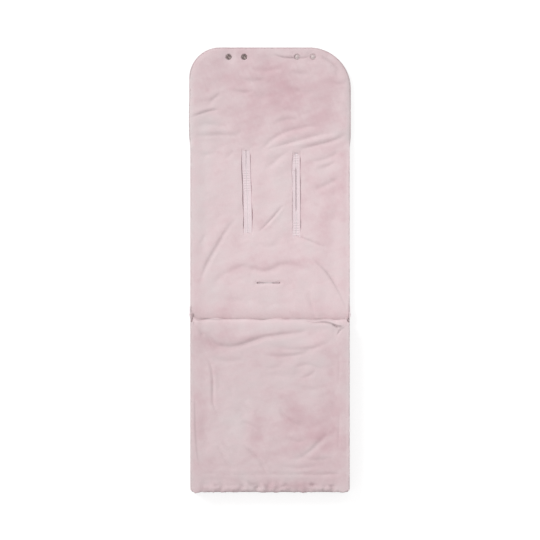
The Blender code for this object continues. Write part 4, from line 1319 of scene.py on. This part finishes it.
def make_mat_shell():
    x, y = tray_plan(shell_half, KNEE_Y + TUCK, SHELL_HEAD_Y, 6.0, False, True)
    edge = inset(x, y, shell_half, (SHELL_HEAD_Y, LEFT_CORNER, RIGHT_CORNER))
    piece = thin("mat_shell", x, y, tray_face(x, y, edge, SHELL_FLOOR, SHELL_RISE, 101, 0.8), FABRIC_THICK)
    cut_slots(piece, 0.7, -2, 4)
    dress(piece, OUTER)
    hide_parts("seat_outer_fabric", "head_outer_fabric")
    blend_head(piece)


def make_foot_shell():
    x, y = tray_plan(foot_half, FOOT_Y, KNEE_Y + TUCK - 0.4, 4.0, True, False)
    edge = inset(x, y, foot_half, None, FOOT_END)
    piece = thin("foot_shell", x, y, tray_face(x, y, edge, SHELL_FLOOR, SHELL_RISE, 111, 0.8), FABRIC_THICK)
    dress(piece, OUTER)
    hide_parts("foot_mat_outer_fabric")
    blend_knee(piece)


def make_sack_shell():
    """The front of the sack and the band down to the mat, as one fabric with the seam between them."""
    x, y = tray_plan(foot_half, FOOT_Y, KNEE_Y - 9.0, 6.0, True, False)
    edge = inset(x, y, foot_half, None, FOOT_END)
    y = y + 7.5 * (1 - smooth((edge - 1) / 6)) * smooth((y - FOOT_Y) / 300)
    wall = smooth(edge / 0.8)
    z = BAND_FOOT + (BAND_RISE + FRONT_ROLL) * wall - rolled(edge - 0.8, 13, FRONT_ROLL)
    z -= outer_relief(x, y, 121) * smooth((edge - 6) / 8) * 0.6
    puff = 0.5 * waves(x + y, z, 16, 123) * np.exp(-edge / 1.5)
    x = x - np.sign(x) * np.clip(0.5 - puff, 0, 1.2) * (abs(x) > SHELL_HALF - 3)
    piece = thin("sack_shell", x, y, z, -FABRIC_THICK)
    dress(piece, OUTER)
    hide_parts("sack_front_outer_fabric", "sack_side_band")
    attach(piece, "foot_sack")


def make_cover_shell():
    """The cover's outer fabric, which turns over at the fold and meets the sack's front."""
    half = lambda y, side: foot_half(np.maximum(y, FOOT_Y + FOOT_CORNER + 1), side)
    x, y = tray_plan(half, COVER_SHELL_LOW[1], KNEE_Y - 1.0, 6.0, False, False)
    z = tray_face(x, y, inset(x, y, half), COVER_FLOOR, 7.6, 131, 0.6)
    across, height = x[-1], z[-1]
    front = KNEE_Y - 0.6 + 0 * across
    turn = []
    for angle in np.linspace(0, math.pi, 7)[1:]:
        rise = (0.15 + height - COVER_FLOOR) * math.cos(angle)
        turn.append((across, front + 0.3 * math.sin(angle), COVER_TURN + rise))
    for step in (2, 4.5, 8):
        turn.append((across, front - step, 2 * COVER_TURN - height))
    x, y, z = (np.vstack([part, *rows]) for part, rows in zip((x, y, z), zip(*turn)))
    piece = thin("cover_shell", x, y, z, FABRIC_THICK)
    dress(piece, OUTER)
    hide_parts("cover_outer_fabric")
    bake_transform(piece)


# Wadding


def make_wadding(name, nodes, half, foot, head, levels, seed, head_end=None, foot_end=None):
    """A pad of wadding between two levels. A head_end or foot_end is a rounded end of it."""
    low, high = levels
    x, y = tray_plan(half, foot, head, 5.0, bool(foot_end), bool(head_end))
    edge = inset(x, y, half, head_end, foot_end)
    top = high - 0.5 + 0.25 * waves(x, y, 26, seed) - rolled(edge, 8, min(4, (high - low) * 0.45))
    piece = closed_pad(name, x, y, top, ((0.6, 0.6, low + 0.4), (2.0, 1.0, low + 0.2)), 12)
    if name == "wadding_mat":
        cut_slots(piece, 4.4, -2, 20)
    dress(piece, WADDING)
    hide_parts(*nodes)
    return piece


def make_waddings():
    inner = lambda y, side: shell_half(np.minimum(y, PAD_HEAD_Y), side) - 2.6
    plain = lambda y, side: PLUSH_HALF + 1.6 + 0 * y
    foot = lambda y, side: plain(y, side) - corner_draw(y, PAD_FOOT_Y, -FOOT_CORNER)
    head_end = (PAD_HEAD_Y, LEFT_CORNER - 3, RIGHT_CORNER - 3)
    foot_end = (PAD_FOOT_Y, FOOT_CORNER, FOOT_CORNER)
    mat = make_wadding("wadding_mat", ("seat_wadding", "head_wadding"), inner, KNEE_Y + TUCK + 0.4, PAD_HEAD_Y,
                       MAT_PAD, 141, head_end)
    blend_head(mat)
    sack = make_wadding("wadding_foot", ("foot_mat_wadding",), foot, PAD_FOOT_Y, KNEE_Y + TUCK, MAT_PAD, 142,
                        None, foot_end)
    blend_knee(sack)
    front = make_wadding("wadding_front", ("sack_front_wadding",), foot, PAD_FOOT_Y, KNEE_Y - 2, FRONT_PAD, 143,
                         None, foot_end)
    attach(front, "foot_sack")
    cover = make_wadding("wadding_cover", ("cover_wadding",), plain, COVER_LOW[1] + 1, KNEE_Y - 2, COVER_PAD, 144)
    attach(cover, "front_cover")


# Slot tapes

# Levels of a tape's face and floor, and the width of its slit
SLOT_TAPE = (19.1, 15.3, 0.6)
CROTCH_TAPE = (16.8, 12.6, 0.6)
BACK_TAPE = (1.2, 0.1, 5.0)
RUNG_PITCH = 5.6


def make_tape(name, box, lean_name, face, low, slit, ribs=(), grooves=(), hold=8):
    """A slot's tape between two levels: two strips beside the slit, joined at both ends over the length of hold.

    Ribs are (start, stop, height) of ladder stitching, and grooves are (start, stop, width, depth).
    """
    (x0, y0, _), (x1, y1, _) = box
    upright = y1 - y0 > x1 - x0
    length, width = (y1 - y0, x1 - x0) if upright else (x1 - x0, y1 - y0)
    start = y0 if upright else x0
    width -= 1.1
    skin = Skin()
    near, far = 0.6, length - 0.6
    blocks = ((near, far, -width / 2, -slit / 2), (near, far, slit / 2, width / 2),
              (near, hold, -slit, slit), (length - hold, far, -slit, slit))
    rings = ((0.05, 0.5, low), (0.1, 1.0, low))
    for v0, v1, u0, u1 in blocks:
        v, u = lattice(places(v0, v1, 0.9), places(u0, u1, min(0.55, (u1 - u0) / 2)))
        place = v + start
        away = abs(u)
        top = face - rolled(width / 2 - away, 1.6, 0.25 * (face - low))
        top += 0.09 * (face - low) * bell(away - width / 2 + 2.2, 0.9)
        band = np.exp(-((away / (width * 0.36)) ** 6))
        for low_y, high_y, strength in ribs:
            there = smooth((place - low_y) / 5) * smooth((high_y - place) / 5)
            rung = 0.5 + 0.5 * np.cos(math.tau * place / RUNG_PITCH)
            top += strength * there * band * (rung**1.5 - 0.4)
        for low_y, high_y, wide, deep in grooves:
            there = smooth((place - low_y) / 8) * smooth((high_y - place) / 8)
            top -= deep * there * np.exp(-((u / wide) ** 4))
        top -= 0.05 * (face - low) * bell(u, 0.9)
        if upright:
            wander = lean(lean_name, place) if lean_name else 0
            add_pad(skin, (x0 + x1) / 2 + u + wander, place, top, rings, 4)
        else:
            add_pad(skin, place.T, (y0 + y1) / 2 + u.T, top.T, rings, 4)
    return skin.make(name)


def make_slot_tapes():
    stitched = {"left": ((174, 228, 1.0), (80, 100, 0.3), (236, 270, 0.25)),
                "right": ((236, 268, 0.9), (72, 112, 1.0), (176, 215, 0.3))}
    grooves = {"left": ((80, 270, 0.7, 0.5),), "right": ((128, 232, 1.5, 3.0), (80, 262, 0.7, 0.5))}
    for name, (box, _) in SLOTS.items():
        node = f"harness_slot_{name}"
        tape = make_tape(f"slot_tape_{name}", box, name, *SLOT_TAPE, stitched[name], grooves[name])
        finish_tape(tape, f"{node}_binding")
        make_back_tape(name, f"{node}_facing")
    low, high = CROTCH
    box = (low + (2, 3, 0), high - (2, 3, 0))
    tape = make_tape("slot_tape_crotch", box, None, *CROTCH_TAPE, (), ((low[0], high[0], 1.6, 2.2),), 5)
    finish_tape(tape, "crotch_slot_binding")
    make_back_tape("crotch", "crotch_slot_facing")


def make_back_tape(name, node):
    """The plain tape behind a slot."""
    finish_tape(make_tape(f"slot_back_{name}", node_box(node), None, *BACK_TAPE), node)


def finish_tape(piece, node):
    dress(piece, TAPE)
    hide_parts(node)
    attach(piece, "back_mat")


# Zips


def nodes_with(word):
    """The frame's nodes whose names hold a word."""
    return [row["node"] for row in frame["record"]["subparts"] if word in row["node"]]


def zip_body(node):
    """The body that a side of a zip rides on."""
    return "front_cover" if node.startswith("cover") else "back_mat"


def make_zip_tapes():
    for node in nodes_with("_zip_tape_"):
        low, high = node_box(node)
        y, z = lattice(places(low[1], high[1], 3.0), places(low[2], high[2], 1.6))
        ripple = np.sign(low[0]) * 0.16 * waves(y, z, 14, 161, 8)
        x = (low[0] + high[0]) / 2 + ripple + ZIP_TAPE_THICK / 2
        piece = thin(node.replace("zip_tape", "woven_zip_tape"), x, y, z, ZIP_TAPE_THICK)
        dress(piece, ZIP_TAPE)
        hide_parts(node)
        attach(piece, zip_body(node))


# A tooth: share of its height, half width and half length there
TOOTH = ((0, 0.44, 0.36), (0.12, 0.5, 0.42), (0.4, 0.46, 0.3), (0.62, 0.46, 0.32), (0.84, 0.5, 0.44), (1, 0.4, 0.34))
TOOTH_RING = ((-1, -0.6), (-0.6, -1), (0.6, -1), (1, -0.6), (1, 0.6), (0.6, 1), (-0.6, 1), (-1, 0.6))
TOOTH_PITCH = 2.75


def make_zip_teeth():
    """Moulded teeth one by one on each row, each with a waist and a rounded head."""
    for node in nodes_with("_zip_teeth_"):
        low, high = node_box(node)
        skin = Skin()
        count = round((high[1] - low[1]) / TOOTH_PITCH)
        size = np.array((high[0] - low[0], (high[1] - low[1]) / count, high[2] - low[2]))
        for number in range(count):
            foot = np.array(((low[0] + high[0]) / 2, low[1] + size[1] * (number + 0.5), low[2]))
            skin.stack([
                skin.add(foot + size * (a * half_x, b * half_y, share) for a, b in TOOTH_RING)
                for share, half_x, half_y in TOOTH
            ])
        piece = skin.make(node.replace("zip_teeth", "moulded_zip_teeth"))
        dress(piece, TEETH)
        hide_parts(node)
        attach(piece, zip_body(node))


# Press studs


def lathe(name, box, profile, count=40):
    """A turned piece. The profile is rows of radius, 0 or 1 for the box's floor or top, and the height from there."""
    low, high = box
    middle = (low + high) / 2
    turns = [math.tau * i / count for i in range(count)]
    skin = Skin()
    skin.stack([
        skin.add(
            (middle[0] + radius * math.cos(turn), middle[1] + radius * math.sin(turn), box[end][2] + height)
            for turn in turns
        )
        for radius, end, height in profile
    ])
    return skin.make(name)


SOCKET = (
    (4.6, 0, 0.05), (5.7, 0, 0.35), (5.9, 0, 1.25), (5.6, 1, -0.5), (5.0, 1, 0), (4.3, 1, -0.1), (3.7, 1, -0.7),
    (3.3, 1, -1.3), (3.1, 0, 0.95), (2.4, 0, 0.6), (0.3, 0, 0.55),
)
STUD = (
    (4.6, 0, 0.05), (5.7, 0, 0.35), (5.9, 0, 0.85), (5.6, 0, 1.25), (4.9, 0, 1.35), (2.9, 0, 1.25), (2.5, 0, 1.45),
    (2.5, 1, -1.0), (2.8, 1, -0.6), (2.5, 1, -0.2), (1.8, 1, -0.05), (0.3, 1, 0),
)
CAP = (
    (0.3, 0, 0.05), (4.2, 0, 0.1), (5.5, 0, 0.35), (5.95, 0, 0.9), (5.6, 0, 1.2), (2.2, 0, 1.3), (1.9, 0, 1.6),
    (1.9, 1, -0.6), (1.5, 1, -0.1), (0.3, 1, 0),
)


def make_studs():
    snaps = [(name, SOCKET, SNAP) if "socket" in name else (name, STUD, PALE_SNAP) for name in STUDS]
    snaps += [(name, CAP, PALE_SNAP) for name in nodes_with("press_cap_")]
    for name, profile, look in snaps:
        piece = lathe(f"snap_{name}", node_box(name), profile)
        dress(piece, look)
        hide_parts(name)
        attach(piece, "head_end")


# Stitching


# A stitch: share of its length and of its thickness there
STITCH = ((0, 0.35), (0.2, 0.9), (0.5, 1), (0.8, 0.9), (1, 0.35))


def stitches(name, path, body, length=3.0, gap=1.4, thick=THREAD_THICK):
    """A run of thread stitches along a path of points, each a small closed grain half sunk in the fabric."""
    skin = Skin()
    turns = [math.tau * i / 6 for i in range(6)]
    points = [Vector(point) for point in path]
    place = 0.0
    steps = []
    for first, second in zip(points, points[1:]):
        span = (second - first).length
        while place < span:
            steps.append((first + (second - first) * (place / span), (second - first).normalized()))
            place += length + gap
        place -= span
    for spot, way in steps:
        side = way.orthogonal().normalized()
        other = way.cross(side)
        outs = [side * math.cos(turn) + other * math.sin(turn) for turn in turns]
        skin.stack([
            skin.add(spot + way * length * share + out * thick * size / 2 for out in outs) for share, size in STITCH
        ])
    piece = skin.make(name)
    dress(piece, THREAD)
    if body == "mat":
        blend_head(piece)
    else:
        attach(piece, body)


def make_stitching():
    """Topstitching on the outer fabric's seams, and a bar tack on the right slot."""
    inner, level, low = SHELL_HALF - SEAM_IN, COVER_FLOOR - 0.1, COVER_SHELL_LOW[1] + 4
    cover = [(-inner, y, level) for y in np.linspace(low, KNEE_Y - 6, 40)]
    stitches("cover_topstitch_left", cover, "front_cover")
    stitches("cover_topstitch_right", [(-x, y, z) for x, y, z in cover], "front_cover")
    stitches("cover_topstitch_hem", [(x, low, level) for x in np.linspace(-inner, inner, 40)], "front_cover")
    outer, level = inner + 2, 0.4
    mat = [(-inner, y, level) for y in np.linspace(KNEE_Y + 6, SEAT_END, 50)]
    path = mat + [(-outer, HOOD_EDGE, level), (-outer, HEAD_Y - LEFT_CORNER, level)]
    for side, radius in ((-1, LEFT_CORNER), (1, RIGHT_CORNER)):
        bend = radius - SEAM_IN
        arc = []
        for angle in np.linspace(0, math.pi / 2, 17):
            x = side * (outer - bend + bend * math.cos(angle))
            arc.append((x, HEAD_Y - radius + bend * math.sin(angle), level))
        path += arc if side < 0 else arc[::-1]
    path += [(outer, HOOD_EDGE, level)] + [(-x, y, z) for x, y, z in mat[::-1]]
    stitches("mat_topstitch", path, "mat")
    tack = (SLOTS["right"][0][0][0] + SLOTS["right"][0][1][0]) / 2
    bar = [(tack - 9 + i, 223 + 0.1 * (i % 2), 19.3) for i in range(10)]
    stitches("slot_bar_tack", bar, "back_mat", 1.3, 0.1, 0.8)


make_mat_plush()
make_cover_plush()
make_hem()
make_foot_plush()
make_pile()
make_mat_shell()
make_foot_shell()
make_sack_shell()
make_cover_shell()
make_waddings()
make_slot_tapes()
make_zip_tapes()
make_zip_teeth()
make_studs()
make_stitching()

# The zips' metal pieces keep their solids, with rounded edges
for row in frame["record"]["subparts"]:
    if row["material_slot"] == "zip_metal":
        node = frame["nodes"][row["node"]]
        node.data.materials.clear()
        node.data.materials.append(METAL)
        edges = node.modifiers.new("edges", "BEVEL")
        edges.width = 0.35 * MM
        edges.segments = 3


# Stage, light and camera


FLOOR_SIZE = 12
FLOOR_GREY = 0.38
DIM = 0.74
KEY_POWER = 1.5
KEY_SPREAD = 30
KEY_HEADING = (0.62, -0.62, -0.75)
PHOTO_WIDTH = 1.215
CAMERA_PLACE = (0, -0.00045, 2.5)


def seen_directly(tree):
    """1 on rays that come from the camera, a mirror or something clear, and 0 on the rest."""
    rays = add_node(tree, "ShaderNodeLightPath").outputs
    seen = rays["Is Camera Ray"]
    for kind in ("Is Glossy Ray", "Is Transmission Ray"):
        seen = add_node(tree, "ShaderNodeMath", {0: seen, 1: rays[kind]}, operation="MAXIMUM").outputs[0]
    return seen


def make_floor():
    """A pale floor that keeps the object's shadow."""
    bpy.ops.mesh.primitive_plane_add(size=FLOOR_SIZE)
    floor = bpy.context.object
    floor.name = "floor"
    material = bpy.data.materials.new("white_floor")
    material.use_nodes = True
    tree = material.node_tree
    tree.nodes.clear()
    plain = add_node(tree, "ShaderNodeBsdfDiffuse", {"Color": (FLOOR_GREY, FLOOR_GREY, FLOOR_GREY, 1)})
    share = add_node(tree, "ShaderNodeMath", {0: seen_directly(tree), 1: DIM}, operation="MULTIPLY")
    glow = add_node(tree, "ShaderNodeEmission", {"Strength": share.outputs[0]})
    both = add_node(tree, "ShaderNodeAddShader", {0: plain.outputs[0], 1: glow.outputs[0]})
    add_node(tree, "ShaderNodeOutputMaterial", {"Surface": both.outputs[0]})
    floor.data.materials.append(material)


def make_light():
    """White surroundings and one wide soft lamp from the upper left."""
    world = bpy.data.worlds.new("studio")
    bpy.context.scene.world = world
    world.use_nodes = True
    tree = world.node_tree
    strength = spread(tree, seen_directly(tree), DIM, 1.0)
    feed(tree, tree.nodes["Background"], {"Color": (1, 1, 1, 1), "Strength": strength})

    sun = bpy.data.lights.new("key", "SUN")
    sun.energy = KEY_POWER
    sun.angle = math.radians(KEY_SPREAD)
    lamp = add_object("key", sun)
    lamp.rotation_mode = "QUATERNION"
    lamp.rotation_quaternion = Vector(KEY_HEADING).to_track_quat("-Z", "Y")


def make_camera():
    """Straight above, as the photograph was taken."""
    data = bpy.data.cameras.new("camera")
    data.type = "ORTHO"
    data.ortho_scale = PHOTO_WIDTH
    camera = add_object("camera", data)
    camera.location = CAMERA_PLACE
    bpy.context.scene.camera = camera


make_floor()
make_light()
make_camera()
bpy.context.scene.view_settings.view_transform = "Standard"
